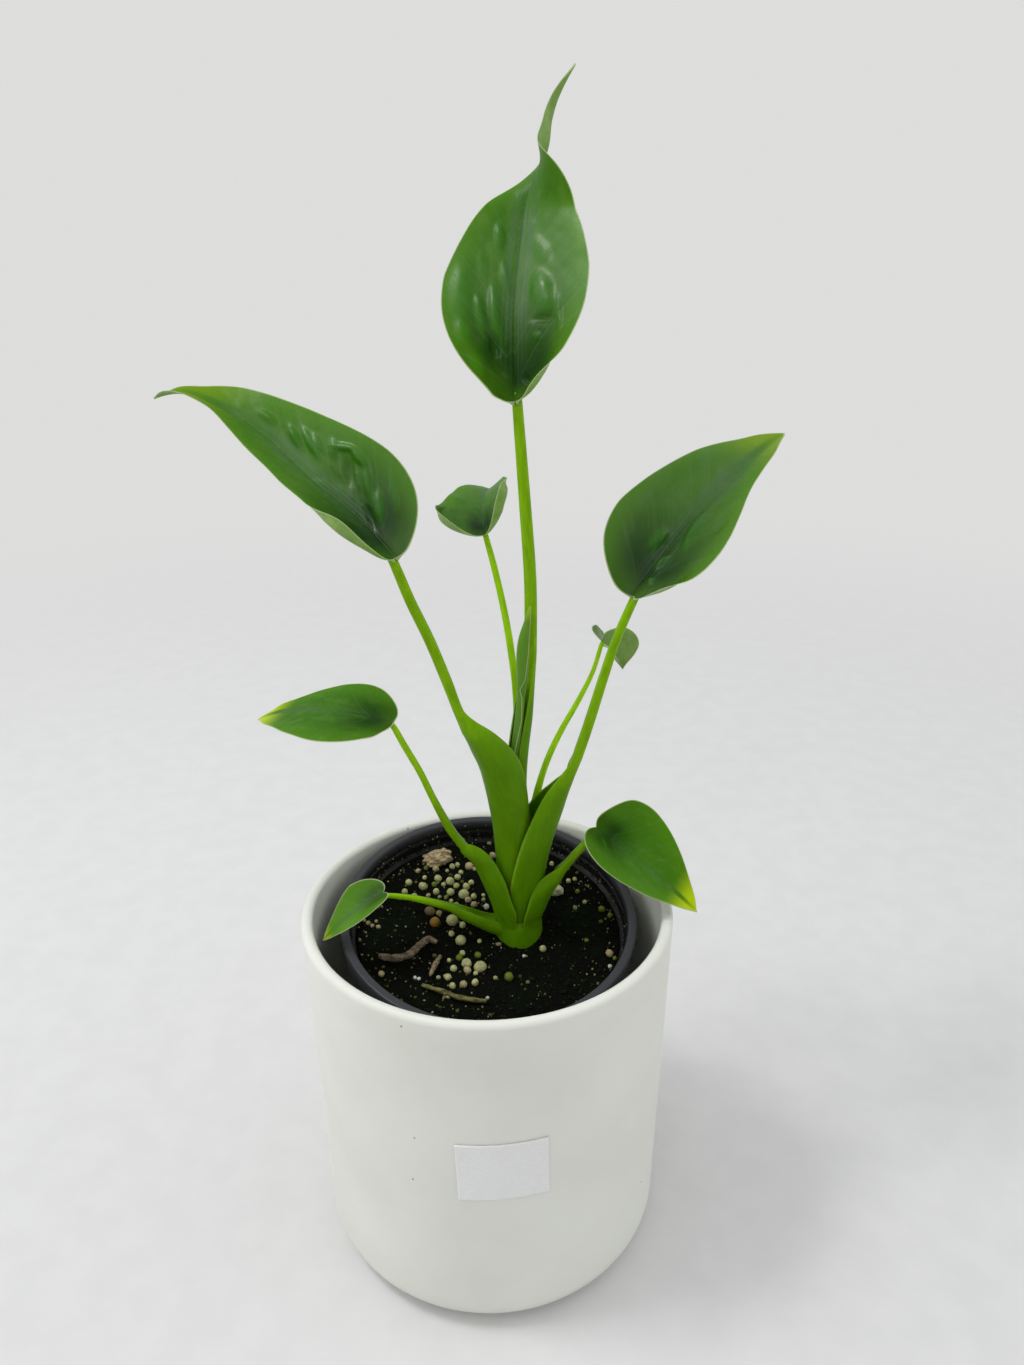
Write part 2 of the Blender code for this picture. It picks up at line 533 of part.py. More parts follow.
def build_nursery_pot(group, cutters):
    """Thin plastic pot with a turned-down lip, an inner ledge and drain holes."""
    finish = material("black_plastic", BLACK_PLASTIC, 0.45)
    wall = NURSERY_WALL
    inside = NURSERY_RIM - NURSERY_LIP
    profile = [(0.0, -NURSERY_HEIGHT + wall), (NURSERY_BASE - wall, -NURSERY_HEIGHT + wall),
               (NURSERY_TOP - wall, -NURSERY_SKIRT + 1.0), (inside - 0.6, -NURSERY_SKIRT + 2.2),
               (inside, -0.6), (inside + 0.6, 0.0), (NURSERY_RIM - 0.6, 0.0),
               (NURSERY_RIM, -0.6), (NURSERY_SKIRT_END, -NURSERY_SKIRT),
               (NURSERY_SKIRT_END - wall, -NURSERY_SKIRT), (NURSERY_RIM - wall - 0.2, -2.2),
               (inside + wall, -2.6), (inside + wall - 0.4, -NURSERY_SKIRT + 1.4),
               (NURSERY_TOP, -NURSERY_SKIRT), (NURSERY_BASE, -NURSERY_HEIGHT),
               (0.0, -NURSERY_HEIGHT)]
    pot = turned("nursery_pot", profile, POT_STEPS, finish, group, nursery_place())
    pot.data = evaluated_mesh(pot, "nursery_pot")
    pot.modifiers.clear()
    for i in range(DRAIN_COUNT):
        angle = 2 * math.pi * i / DRAIN_COUNT
        spot = Matrix.Translation((DRAIN_CIRCLE * math.cos(angle) * MM,
                                   DRAIN_CIRCLE * math.sin(angle) * MM, -NURSERY_HEIGHT * MM))
        work = bmesh.new()
        bmesh.ops.create_cone(work, cap_ends=True, segments=10, radius1=DRAIN_RADIUS * MM,
                              radius2=DRAIN_RADIUS * MM, depth=8 * MM)
        mesh = bpy.data.meshes.new(f"drain_{i}")
        work.to_mesh(mesh)
        work.free()
        drain = add_object(f"drain_cutter_{i}", mesh, cutters, place=nursery_place() @ spot)
        hide_cutter(drain)
    boolean(pot, "DIFFERENCE", group=cutters)
    return pot


def pellet_places(count, seed):
    """Return x, y, radius of pellets on the soil: thick on the left and behind the plant.

    The draw is seeded. A spot is kept where it is clear of the plant's foot, of the loose
    pieces and of most of the pellets already there.
    """
    draw = np.random.default_rng(seed)
    taken = []
    while len(taken) < count:
        wide = draw.random() < 0.75
        middle, spread = ((-18.0, 18.0), (14.0, 12.0)) if wide else ((-16.0, -22.0), (16.0, 9.0))
        x, y = draw.normal(middle, spread)
        radius = draw.uniform(1.5, 2.35)
        if math.hypot(x, y) > 46.0 or math.hypot(x - 11, y - 4) < 15.5:
            continue
        if any(math.hypot(x - cx, y - cy) < reach for cx, cy, reach in LITTER_CLEAR):
            continue
        if any(math.hypot(x - px, y - py) < 1.05 * (radius + pr) for px, py, pr in taken):
            continue
        taken.append((x, y, radius))
    return taken


# Spots on the soil, in the nursery pot's frame, that the loose pieces keep for themselves
LITTER_CLEAR = ((-20.0, 37.0, 9.5), (-33.0, -16.0, 8.0), (-24.0, -10.0, 8.0),
                (-12.0, -34.0, 9.0), (-20.0, -30.0, 8.0), (-21.0, -22.0, 7.0),
                (26.0, 19.0, 6.0))


def build_soil(group, cutters):
    """Soil: fills the nursery pot, with a plain hole for the crown and raised pellets."""
    finish = material("soil", SOIL_COLOUR, 0.9)
    wall = NURSERY_WALL + GAP
    top = -SOIL_DEPTH
    floor = -NURSERY_HEIGHT + wall
    slope = (NURSERY_TOP - NURSERY_BASE) / (NURSERY_HEIGHT - NURSERY_SKIRT)
    top_radius = NURSERY_TOP - wall - slope * (SOIL_DEPTH - NURSERY_SKIRT) - 0.1
    profile = [(0.0, top), (0.6 * top_radius, top), (top_radius - 1.0, top + 0.3),
               (top_radius, top - 0.5), (NURSERY_BASE - wall - 0.1, floor), (0.0, floor)]
    soil = turned("soil", profile, POT_STEPS, finish, group, nursery_place())
    soil.data = evaluated_mesh(soil, "soil")
    soil.modifiers.clear()
    bring = nursery_place()
    pellets = new_collection("pellets")
    for i, (x, y, radius) in enumerate(pellet_places(PELLET_COUNT, PELLET_SEED)):
        work = bmesh.new()
        bmesh.ops.create_icosphere(work, subdivisions=1, radius=radius * MM)
        mesh = bpy.data.meshes.new(f"pellet_{i}")
        work.to_mesh(mesh)
        work.free()
        spot = Matrix.Translation((x * MM, y * MM, (top + 0.35 * radius) * MM))
        add_object(f"pellet_{i}", mesh, pellets, place=bring @ spot)
    hole = new_cylinder("crown_hole", 1.0, 1.0, 26)
    reach = CROWN_ROWS[0][0] - GAP
    height = 160.0 - reach
    hole.transform(Matrix.Diagonal((9.5 * MM, 11.2 * MM, height * MM, 1.0)))
    cutter = add_object("crown_hole_cutter", hole, cutters,
                        place=Matrix.Translation((CROWN_MIDDLE[0] * MM, CROWN_MIDDLE[1] * MM,
                                                  (reach + height / 2) * MM)))
    hide_cutter(cutter)
    boolean(soil, "UNION", group=pellets)
    soil.data = evaluated_mesh(soil, "soil")
    soil.modifiers.clear()
    for pellet in list(pellets.objects):
        bpy.data.objects.remove(pellet, do_unlink=True)
    bpy.data.collections.remove(pellets)
    boolean(soil, "DIFFERENCE", cutter)
    return soil


def new_cylinder(name, radius, depth, sides):
    """Return a cylinder mesh in the units given."""
    work = bmesh.new()
    bmesh.ops.create_cone(work, cap_ends=True, segments=sides, radius1=radius, radius2=radius,
                          depth=depth)
    mesh = bpy.data.meshes.new(name)
    work.to_mesh(mesh)
    work.free()
    return mesh


def build_crown(group, cutters, finish):
    """Crown: the swollen foot, joined with the root of the lowest stalk."""
    angles = np.linspace(0.0, 2 * math.pi, 26, endpoint=False)
    rings = []
    for height, wide, deep in CROWN_ROWS:
        rings.append(np.stack([CROWN_MIDDLE[0] + wide * np.cos(angles),
                               CROWN_MIDDLE[1] + deep * np.sin(angles),
                               np.full(len(angles), height)], axis=1))
    crown = add_object("crown", loft("crown", rings), group, finish)
    keel, rows = LOW_ROOT
    root = add_object("low_root", loft("low_root", stalk_rings(keel, rows, 1)), cutters)
    hide_cutter(root)
    boolean(crown, "UNION", root)
    return crown


def build_stalks(group, finish):
    """Stalks: sheath and petiole of each leaf."""
    for name, (keel, rows) in STALKS.items():
        mesh = loft(f"stalk_{name}", stalk_rings(keel, rows, 2))
        add_object(f"stalk_{name}", mesh, group, finish)


def build_blades(group, finish):
    """Blades: one thin leaf blade at the end of every stalk."""
    for name, shape in BLADES.items():
        rows, columns = (14, 5) if name in LARGE_BLADES else (11, 4)
        mesh = blade_mesh(f"blade_{name}", shape, rows, columns)
        add_object(f"blade_{name}", mesh, group, finish)


def build_new_leaf(group, finish):
    """The youngest leaf, a rolled spike that stands in the sheath of the top leaf."""
    mesh = loft("new_leaf", round_rings(spline(NEW_LEAF, 1), 12))
    add_object("new_leaf", mesh, group, finish)


def build_litter(group):
    """Loose pieces that lie on the soil: a bark chip, a pale stone and bits of root."""
    bring = nursery_place()
    lift = -SOIL_DEPTH + 0.3 + GAP
    bark = material("bark", PALE_STONE, 0.85)
    brown = material("root_brown", BROWN, 0.8)
    chips = (("bark_chip", (-20.0, 37.0), (6.3, 4.2, 3.0), 20.0, bark),
             ("pale_stone", (26.0, 19.0), (3.4, 2.6, 2.2), -15.0, bark))
    for name, (x, y), (length, depth, height), turn, finish in chips:
        work = bmesh.new()
        bmesh.ops.create_icosphere(work, subdivisions=2, radius=1.0)
        for vertex in work.verts:
            a, b, c = vertex.co
            wobble = 1.0 + 0.09 * math.sin(5 * a + 2 * b) + 0.07 * math.sin(6 * b - 3 * c)
            flat = max(c * wobble, -0.62)
            vertex.co = (a * wobble * length, b * wobble * depth, flat * height)
        mesh = bpy.data.meshes.new(name)
        work.to_mesh(mesh)
        work.free()
        mesh.transform(Matrix.Scale(MM, 4))
        spot = (Matrix.Translation((x * MM, y * MM, (lift + 0.62 * height) * MM))
                @ Matrix.Rotation(math.radians(turn), 4, "Z"))
        add_object(name, mesh, group, finish, bring @ spot)
    runs = {
        "root_piece": ((-39.5, -15.5, 1.5, 1.1), (-34.0, -17.0, 1.9, 1.35),
                       (-29.0, -15.5, 2.1, 1.35), (-25.0, -10.5, 2.0, 1.3),
                       (-22.0, -7.5, 1.7, 1.2), (-19.0, -8.5, 1.2, 0.8)),
        "twig": ((-23.5, -28.5, 0.9, 0.7), (-18.0, -31.0, 1.1, 0.85),
                 (-10.0, -34.5, 1.2, 0.95), (-1.0, -36.0, 1.0, 0.7)),
        "splinter": ((-21.0, -24.5, 0.9, 0.5), (-19.5, -20.0, 1.3, 1.0),
                     (-17.5, -15.0, 1.1, 0.6)),
    }
    for name, route in runs.items():
        rings = round_rings(spline(route, 3), 8)
        mesh = loft(name, [ring + np.array([0.0, 0.0, lift]) for ring in rings])
        add_object(name, mesh, group, brown, bring)


def main():
    """Build the plant and its pots."""
    clear_scene()
    group = new_collection("potted_alocasia")
    drains = new_collection("drain_cutters")
    cutters = new_collection("cutters")
    stalk_finish = material("stalk_green", STALK_GREEN, 0.4)
    blade_finish = material("blade_green", BLADE_GREEN, 0.3)
    build_cover_pot(group)
    build_label(group)
    build_nursery_pot(group, drains)
    build_soil(group, cutters)
    build_crown(group, cutters, stalk_finish)
    build_stalks(group, stalk_finish)
    build_blades(group, blade_finish)
    build_new_leaf(group, stalk_finish)
    build_litter(group)
    bpy.context.view_layer.update()


main()
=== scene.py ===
# %% [markdown]
# # A potted alocasia
# The real object is a young alocasia in a thin black nursery pot, which leans in a white glazed
# cover pot. Every leaf has a sheath, a round stalk and an arrow-shaped blade. The sizes come
# from the solid model, which is loaded first and stays as it is. Everything that shows is then
# made again as a finer surface in the same place. Points are worked out in millimetres.

# %% Load the frame
import math

import bmesh
import bpy
import numpy as np
from mathutils import Matrix


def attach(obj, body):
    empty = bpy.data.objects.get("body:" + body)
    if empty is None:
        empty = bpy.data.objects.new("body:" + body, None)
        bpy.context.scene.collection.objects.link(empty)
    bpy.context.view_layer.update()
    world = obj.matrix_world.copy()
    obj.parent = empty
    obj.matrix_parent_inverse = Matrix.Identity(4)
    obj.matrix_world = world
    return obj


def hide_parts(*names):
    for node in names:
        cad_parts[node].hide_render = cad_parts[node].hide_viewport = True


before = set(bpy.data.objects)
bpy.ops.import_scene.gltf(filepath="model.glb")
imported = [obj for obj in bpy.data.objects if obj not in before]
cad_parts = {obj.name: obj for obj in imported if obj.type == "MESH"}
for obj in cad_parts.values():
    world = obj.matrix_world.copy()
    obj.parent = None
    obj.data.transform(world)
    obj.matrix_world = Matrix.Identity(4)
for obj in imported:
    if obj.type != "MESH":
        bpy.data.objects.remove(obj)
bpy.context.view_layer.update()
MM = 0.001
print("nodes in the frame:", len(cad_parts))

# %% [markdown]
# A surface here is a grid of points: one direction runs along the piece, the other across it.
# The same few helpers join such a grid with faces and hand it to Blender in one go, which is
# much faster than adding points one by one.

# %% Grid helpers


def unit(vectors):
    """Each vector divided by its own length."""
    return vectors / np.maximum(np.linalg.norm(vectors, axis=-1, keepdims=True), 1e-12)


def grid_quads(rows, columns, wrap=False, first=0):
    """Join point (i, j) with (i, j+1), (i+1, j+1) and (i+1, j); wrap closes each row."""
    i = np.arange(rows - 1)[:, None] * columns
    j = np.arange(columns if wrap else columns - 1)[None, :]
    k = (j + 1) % columns
    return np.stack([i + j, i + k, i + columns + k, i + columns + j], -1).reshape(-1, 4) + first


def fan(ring, pole):
    """Join every pair of neighbours in a closed ring with one pole."""
    return np.stack([ring, np.roll(ring, -1), np.full(len(ring), pole)], -1)


def capped_faces(rows, columns):
    """Join a stack of closed rings and close its two ends, whose poles are stored last."""
    first, last = np.arange(columns), (rows - 1) * columns + np.arange(columns)[::-1]
    return [grid_quads(rows, columns, wrap=True), fan(first, rows * columns),
            fan(last, rows * columns + 1)]


print("a 3 by 4 grid has", len(grid_quads(3, 4)), "quads")

# %% Objects and pieces


def new_object(name, data):
    """An object with this data, linked into the scene."""
    made = bpy.data.objects.new(name, data)
    bpy.context.scene.collection.objects.link(made)
    return made


def set_pose(made, *columns):
    """Turn and place an object: three axes and a place are the columns of its matrix."""
    made.matrix_world = Matrix([*np.array(columns).T.tolist(), (0.0, 0.0, 0.0, 1.0)])


def lay_piece(name, points, faces, finish, stands_for=(), fields=None, uv=None):
    """Make a smooth mesh from points in mm, turn its faces outwards and let it ride."""
    mesh = bpy.data.meshes.new(name)
    mesh.from_pydata((np.asarray(points) * MM).tolist(), [], sum((f.tolist() for f in faces), []))
    work = bmesh.new()
    work.from_mesh(mesh)
    bmesh.ops.recalc_face_normals(work, faces=work.faces)
    work.to_mesh(mesh)
    work.free()
    mesh.shade_smooth()
    for key, values in (fields or {}).items():
        layer = mesh.attributes.new(key, "FLOAT", "POINT")
        layer.data.foreach_set("value", np.asarray(values, np.float32).ravel())
    if uv is not None:
        corner = np.empty(len(mesh.loops), np.int32)
        mesh.loops.foreach_get("vertex_index", corner)
        mesh.uv_layers.new(name="run").data.foreach_set("uv", uv[corner].astype(np.float32).ravel())
    mesh.materials.append(finish)
    made = new_object(name, mesh)
    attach(made, "root")
    if stands_for:
        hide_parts(*stands_for)
    mesh.calc_loop_triangles()
    low, high = points.min(axis=0), points.max(axis=0)
    print(f"{name}: {len(mesh.loop_triangles)} triangles, {np.round(high - low, 1)} mm")
    return made


print("points are given in mm and stored times", MM)

# %% Smooth numbers


def lumps(x, y, size, seed):
    """Seeded heights from -1 to 1 on a lattice of cells, blended with smooth steps between."""
    table = np.random.default_rng(seed).uniform(-1.0, 1.0, (64, 64))
    u, v = np.asarray(x) / size, np.asarray(y) / size
    i, j = np.floor(u).astype(int), np.floor(v).astype(int)
    a, b = u - i, v - j
    a, b = a * a * (3 - 2 * a), b * b * (3 - 2 * b)
    low = table[i % 64, j % 64] * (1 - a) + table[(i + 1) % 64, j % 64] * a
    high = table[i % 64, (j + 1) % 64] * (1 - a) + table[(i + 1) % 64, (j + 1) % 64] * a
    return low * (1 - b) + high * b


def ease(values, start, end):
    """0 before start, 1 after end, and the smooth step 3t^2 - 2t^3 between."""
    t = np.clip((values - start) / (end - start), 0.0, 1.0)
    return t * t * (3 - 2 * t)


print("ease a quarter of the way:", ease(0.25, 0.0, 1.0))

# %% [markdown]
# The camera stands a little above the plant and looks down, as someone at a table would. It is
# described by where it stands and three turns, and the columns of its matrix are the picture's
# right, the picture's up and the direction backwards.

# %% Camera
CAMERA_PLACE = (0.0, -0.32263, 0.35886)
LOOK_DOWN = 0.3978
TURN_RIGHT = 0.0296
TILT = -0.0087
LENS = 36.0 * 1060.0 / 1365.0


def aim_camera():
    """Forward from the down and right turns; right is level, then tilted; up is their cross."""
    down, turn = LOOK_DOWN, TURN_RIGHT
    forward = np.array([math.sin(turn) * math.cos(down), math.cos(turn) * math.cos(down),
                        -math.sin(down)])
    level = np.array([math.cos(turn), -math.sin(turn), 0.0])
    above = np.cross(level, forward)
    right = level * math.cos(TILT) + above * math.sin(TILT)
    up = above * math.cos(TILT) - level * math.sin(TILT)
    data = bpy.data.cameras.new("camera")
    data.lens = LENS
    data.sensor_width = 36.0
    data.clip_start = 0.01
    made = new_object("camera", data)
    set_pose(made, right, up, -forward, CAMERA_PLACE)
    bpy.context.scene.camera = made


aim_camera()
bpy.context.scene.view_settings.view_transform = "Standard"
print("camera lens:", round(LENS, 2), "mm")

# %% [markdown]
# Materials are built from nodes. Three small helpers keep them readable: one adds a node and
# feeds it, one remaps a value with a smooth step, one mixes two colours.

# %% Node helpers


def new_finish(name, **constants):
    """A material with one Principled shader; constants go straight onto its sockets."""
    made = bpy.data.materials.new(name)
    made.use_nodes = True
    shader = made.node_tree.nodes["Principled BSDF"]
    for key, value in constants.items():
        shader.inputs[key.replace("_", " ")].default_value = value
    return made, made.node_tree, shader


def add_node(tree, kind, feeds, **settings):
    """Add a node; feeds pairs an input with a value, or with the output that drives it."""
    made = tree.nodes.new("ShaderNode" + kind)
    for key, value in settings.items():
        setattr(made, key, value)
    for key, value in feeds.items():
        if isinstance(value, bpy.types.NodeSocket):
            tree.links.new(value, made.inputs[key])
        else:
            made.inputs[key].default_value = value
    return made


def object_place(tree):
    """Position on the object in metres."""
    return add_node(tree, "TexCoord", {}).outputs["Object"]


def field(tree, name):
    """A number stored per point of the piece."""
    return add_node(tree, "Attribute", {}, attribute_name=name).outputs["Fac"]


def noise(tree, place, scale, detail=3.0, rough=0.55):
    """Cloudy noise about 0.5."""
    feeds = {"Vector": place, "Scale": scale, "Detail": detail, "Roughness": rough}
    return add_node(tree, "TexNoise", feeds).outputs[0]


def stretched(tree, place, scale):
    """The place with each axis scaled, so that a pattern on it is drawn out."""
    return add_node(tree, "Mapping", {"Vector": place, "Scale": scale}).outputs[0]


def remap(tree, value, start, end, low=0.0, high=1.0):
    """Smooth step from low at start to high at end."""
    feeds = {"Value": value, "From Min": start, "From Max": end, "To Min": low, "To Max": high}
    return add_node(tree, "MapRange", feeds, interpolation_type="SMOOTHSTEP").outputs[0]


def maths(tree, operation, first, *others):
    """One operation carried through two or more numbers, from left to right."""
    for other in others:
        first = add_node(tree, "Math", {0: first, 1: other}, operation=operation).outputs[0]
    return first


def mixed(tree, share, first, second, mode="MIX"):
    """Mix two colours; a plain colour is given as three numbers."""
    feeds = {0: share}
    for key, value in ((6, first), (7, second)):
        feeds[key] = (*value, 1.0) if isinstance(value, tuple) else value
    return add_node(tree, "Mix", feeds, data_type="RGBA", blend_type=mode).outputs[2]


def bumped(tree, shader, height, distance, strength=1.0):
    """Tilt the shading normal by a height, with distance in metres for a height of 1."""
    feeds = {"Height": height, "Distance": distance, "Strength": strength}
    tree.links.new(add_node(tree, "Bump", feeds).outputs[0], shader.inputs["Normal"])


def paint(tree, shader, socket, value):
    """Drive one of the shader's sockets."""
    tree.links.new(value, shader.inputs[socket])


print("node helpers ready")

# %% [markdown]
# The plant stands on a pale sheet under soft light from all round, so there is hardly a shadow.
# The floor is a wide disc whose far part glows in the same tone as the background, which hides
# the horizon. Three soft lamps give the leaves and the glaze their highlights: one high on the
# left, a wide panel further down on the same side, and one in front, above the camera.

# %% Stage
BACKDROP = (0.725, 0.725, 0.72)
FLOOR_RADIUS = 9.0


def sheet_finish():
    """Matt paper near the plant, which turns into the background's glow by 1.2 m outwards."""
    made, tree, shader = new_finish("pale_sheet", Roughness=0.9, Specular_IOR_Level=0.1)
    grain = noise(tree, object_place(tree), 60.0, 4.0)
    tone = mixed(tree, remap(tree, grain, 0.3, 0.7), (0.70, 0.70, 0.695), (0.725, 0.725, 0.72))
    paint(tree, shader, "Base Color", tone)
    glow = add_node(tree, "Emission", {"Color": (*BACKDROP, 1.0), "Strength": 1.0})
    reach = add_node(tree, "VectorMath", {0: object_place(tree)}, operation="LENGTH").outputs[1]
    far = remap(tree, reach, 0.35, 1.2)
    mix = add_node(tree, "MixShader", {0: far, 1: shader.outputs[0], 2: glow.outputs[0]})
    out = tree.nodes["Material Output"]
    tree.links.new(mix.outputs[0], out.inputs["Surface"])
    return made


def lay_floor():
    """A disc of rings whose radii grow evenly by the square."""
    rings, steps = 40, 96
    radius = FLOOR_RADIUS * np.linspace(0.0, 1.0, rings + 1)[1:, None] ** 2
    angle = np.linspace(0.0, 2 * math.pi, steps, endpoint=False)[None, :]
    points = np.stack([radius * np.cos(angle), radius * np.sin(angle),
                       np.zeros((rings, steps))], -1).reshape(-1, 3)
    points = np.vstack([points, [[0.0, 0.0, 0.0]]])
    faces = [grid_quads(rings, steps, wrap=True)[:, ::-1], fan(np.arange(steps), rings * steps)]
    mesh = bpy.data.meshes.new("floor")
    mesh.from_pydata(points.tolist(), [], sum((f.tolist() for f in faces), []))
    mesh.materials.append(sheet_finish())
    new_object("floor", mesh)


lay_floor()
print("floor radius:", FLOOR_RADIUS, "m")

# %% Light
WORLD_FRONT = 0.42
WORLD_SIDE = 1.22
WORLD_BACK = 0.35
WORLD_ABOVE = 0.75
LAMP_AIM = (0.0, 0.0, 0.3)


def light_world():
    """Soft white light, strongest from both sides, weaker from the front, the back and above."""
    world = bpy.data.worlds.new("studio")
    bpy.context.scene.world = world
    world.use_nodes = True
    tree = world.node_tree
    tree.nodes.clear()
    way = add_node(tree, "TexCoord", {}).outputs["Generated"]
    axes = add_node(tree, "SeparateXYZ", {0: way})
    front = remap(tree, axes.outputs[1], -1.0, -0.1, WORLD_FRONT, WORLD_SIDE)
    back = remap(tree, axes.outputs[1], 0.25, 0.8, 1.0, WORLD_BACK)
    above = remap(tree, axes.outputs[2], 0.5, 0.95, 1.0, WORLD_ABOVE)
    strength = maths(tree, "MULTIPLY", front, back, above)
    light = add_node(tree, "Background", {"Color": (0.98, 0.99, 1.0, 1.0), "Strength": strength})
    seen = add_node(tree, "Background", {"Color": (*BACKDROP, 1.0), "Strength": 1.0})
    ray = add_node(tree, "LightPath", {}).outputs["Is Camera Ray"]
    mix = add_node(tree, "MixShader", {0: ray, 1: light.outputs[0], 2: seen.outputs[0]})
    out = add_node(tree, "OutputWorld", {})
    tree.links.new(mix.outputs[0], out.inputs["Surface"])


def hang_lamp(name, place, aim, width, depth, brightness):
    """A soft panel that looks at a point. Its power is pi times area times brightness."""
    data = bpy.data.lights.new(name, "AREA")
    data.shape = "RECTANGLE"
    data.size, data.size_y = width, depth
    data.energy = math.pi * width * depth * brightness
    made = new_object(name, data)
    back = unit(np.array(place) - np.array(aim))
    side = unit(np.cross([0.0, 1.0, 0.0], back))
    set_pose(made, side, np.cross(back, side), back, place)
    made.visible_camera = False
    print(f"{name}: {data.energy:.2f} W")


light_world()
hang_lamp("high_lamp", (-0.65, -0.06, 1.44), LAMP_AIM, 0.30, 0.30, 20.0)
hang_lamp("left_panel", (-0.87, -0.01, 1.11), LAMP_AIM, 0.70, 0.70, 0.7)
hang_lamp("front_lamp", (-0.30, -1.05, 1.15), LAMP_AIM, 0.22, 0.22, 6.0)

# %% [markdown]
# Pots are turned shapes, so each is one profile of radius and height carried round the axis.
# The glaze is a creamy white with faint clouds, a slow swell where it ran, and a few pinholes.

# %% Cover pot
POT_HEIGHT = 138.0
POT_RIM_RADIUS = 66.5
POT_BASE_RADIUS = 63.7
POT_WALL = 4.2
POT_FLOOR = 7.0
POT_EDGE = 12.8
POT_INNER_EDGE = 9.0


def arc(middle, radius, start, end, count):
    """Points at middle + radius (cos a, sin a) for angles a in degrees."""
    angle = np.radians(np.linspace(start, end, count))
    return np.stack([middle[0] + radius * np.cos(angle), middle[1] + radius * np.sin(angle)], -1)


def line(start, end, count):
    """Evenly spaced points between two profile points, without the ends."""
    share = np.linspace(0.0, 1.0, count + 2)[1:-1, None]
    return np.asarray(start) * (1 - share) + np.asarray(end) * share


def turn(profile, steps):
    """Carry (r, z) round the axis: (r sin a, -r cos a, z). The two ends on the axis are poles."""
    angle = np.linspace(0.0, 2 * math.pi, steps, endpoint=False)[None, :]
    ring = profile[1:-1]
    radius, height = ring[:, :1], ring[:, 1:]
    points = np.stack([radius * np.sin(angle), -radius * np.cos(angle),
                       height + 0 * angle], -1).reshape(-1, 3)
    poles = np.array([[0.0, 0.0, profile[0][1]], [0.0, 0.0, profile[-1][1]]])
    return np.vstack([points, poles]), capped_faces(len(ring), steps)


def glaze_finish():
    """Cream white; clouds in colour and gloss, pinholes where a cell's centre meets the wall."""
    made, tree, shader = new_finish("glaze", Specular_IOR_Level=0.4)
    place = object_place(tree)
    clouds = remap(tree, noise(tree, place, 22.0, 4.0), 0.3, 0.7)
    tone = mixed(tree, clouds, (0.735, 0.745, 0.675), (0.785, 0.79, 0.735))
    cells = add_node(tree, "TexVoronoi", {"Vector": place, "Scale": 58.0}).outputs["Distance"]
    hole = remap(tree, cells, 0.012, 0.026, 1.0, 0.0)
    paint(tree, shader, "Base Color", mixed(tree, hole, tone, (0.16, 0.15, 0.11)))
    paint(tree, shader, "Roughness", remap(tree, noise(tree, place, 90.0), 0.3, 0.7, 0.36, 0.5))
    swell = noise(tree, place, 30.0, 2.0)
    skin = maths(tree, "MULTIPLY", noise(tree, place, 700.0, 2.0), 0.08)
    height = maths(tree, "SUBTRACT", maths(tree, "ADD", swell, skin), hole)
    bumped(tree, shader, height, 0.0006, 0.6)
    return made


def make_cover_pot():
    """Inner floor, inner wall, round rim, outer wall, soft base edge, underside."""
    lip = POT_WALL / 2
    rim = POT_RIM_RADIUS - POT_WALL
    base = POT_BASE_RADIUS - POT_WALL
    floor_edge = arc((base - POT_INNER_EDGE, POT_FLOOR + POT_INNER_EDGE), POT_INNER_EDGE, -90, 0, 9)
    top = arc((rim + lip, POT_HEIGHT - lip), lip, 180, 0, 15)
    foot = arc((POT_BASE_RADIUS - POT_EDGE, POT_EDGE), POT_EDGE, 0, -90, 14)
    profile = np.vstack([[(0.0, POT_FLOOR)], line((0.0, POT_FLOOR), floor_edge[0], 6), floor_edge,
                         line(floor_edge[-1], top[0], 24), top, line(top[-1], foot[0], 24), foot,
                         line(foot[-1], (0.0, 0.0), 6), [(0.0, 0.0)]])
    points, faces = turn(profile, 160)
    angle = np.arctan2(points[:, 0], points[:, 1])
    sway = 0.12 * (1 + np.sin(2 * angle + 0.7)) * ease(points[:, 2], 10, 60)
    points[:, :2] *= (1 - sway / POT_RIM_RADIUS)[:, None]
    return lay_piece("glazed_cover_pot", points, faces, glaze_finish(), ("cover_pot",))


make_cover_pot()

# %% [markdown]
# The paper label is bare. It follows the round wall, with corners that lift a little and a small
# crease near one corner. A thin sheet is two grids with a strip round the edge that closes
# them. The lower grid lies just under the glaze, so no dark gap shows behind the paper.

# %% Label
LABEL_WIDTH = 31.0
LABEL_HEIGHT = 24.5
LABEL_MIDDLE = (3.4, 77.0)
LABEL_TURN = math.radians(1.5)
LABEL_RISE = 0.12
LABEL_SUNK = 0.05
CORNER_AT = (15.5, 12.2)
CREASE_AT = (-14.2, 8.0)


def sheet_faces(rows, columns):
    """Two grids, upper and lower, and the quads between their outer points."""
    upper = grid_quads(rows, columns)
    count = rows * columns
    index = np.arange(count).reshape(rows, columns)
    loop = np.concatenate([index[0, :-1], index[:-1, -1], index[-1, :0:-1], index[:0:-1, 0]])
    after = np.roll(loop, -1)
    rim = np.stack([loop, after, after + count, loop + count], -1)
    return [upper, upper[:, ::-1] + count, rim]


def paper_finish():
    """White paper: fine fibres in the colour and in the height."""
    made, tree, shader = new_finish("label_paper", Roughness=0.65, Specular_IOR_Level=0.3)
    fibres = noise(tree, stretched(tree, object_place(tree), (900.0, 900.0, 1500.0)), 1.0, 5.0, 0.7)
    patch = noise(tree, object_place(tree), 120.0, 2.0)
    tone = mixed(tree, remap(tree, fibres, 0.3, 0.7), (0.80, 0.80, 0.80), (0.86, 0.86, 0.86))
    tone = mixed(tree, remap(tree, patch, 0.35, 0.8, 0.0, 0.25), tone, (0.80, 0.79, 0.74))
    paint(tree, shader, "Base Color", tone)
    bumped(tree, shader, fibres, 0.00006)
    return made


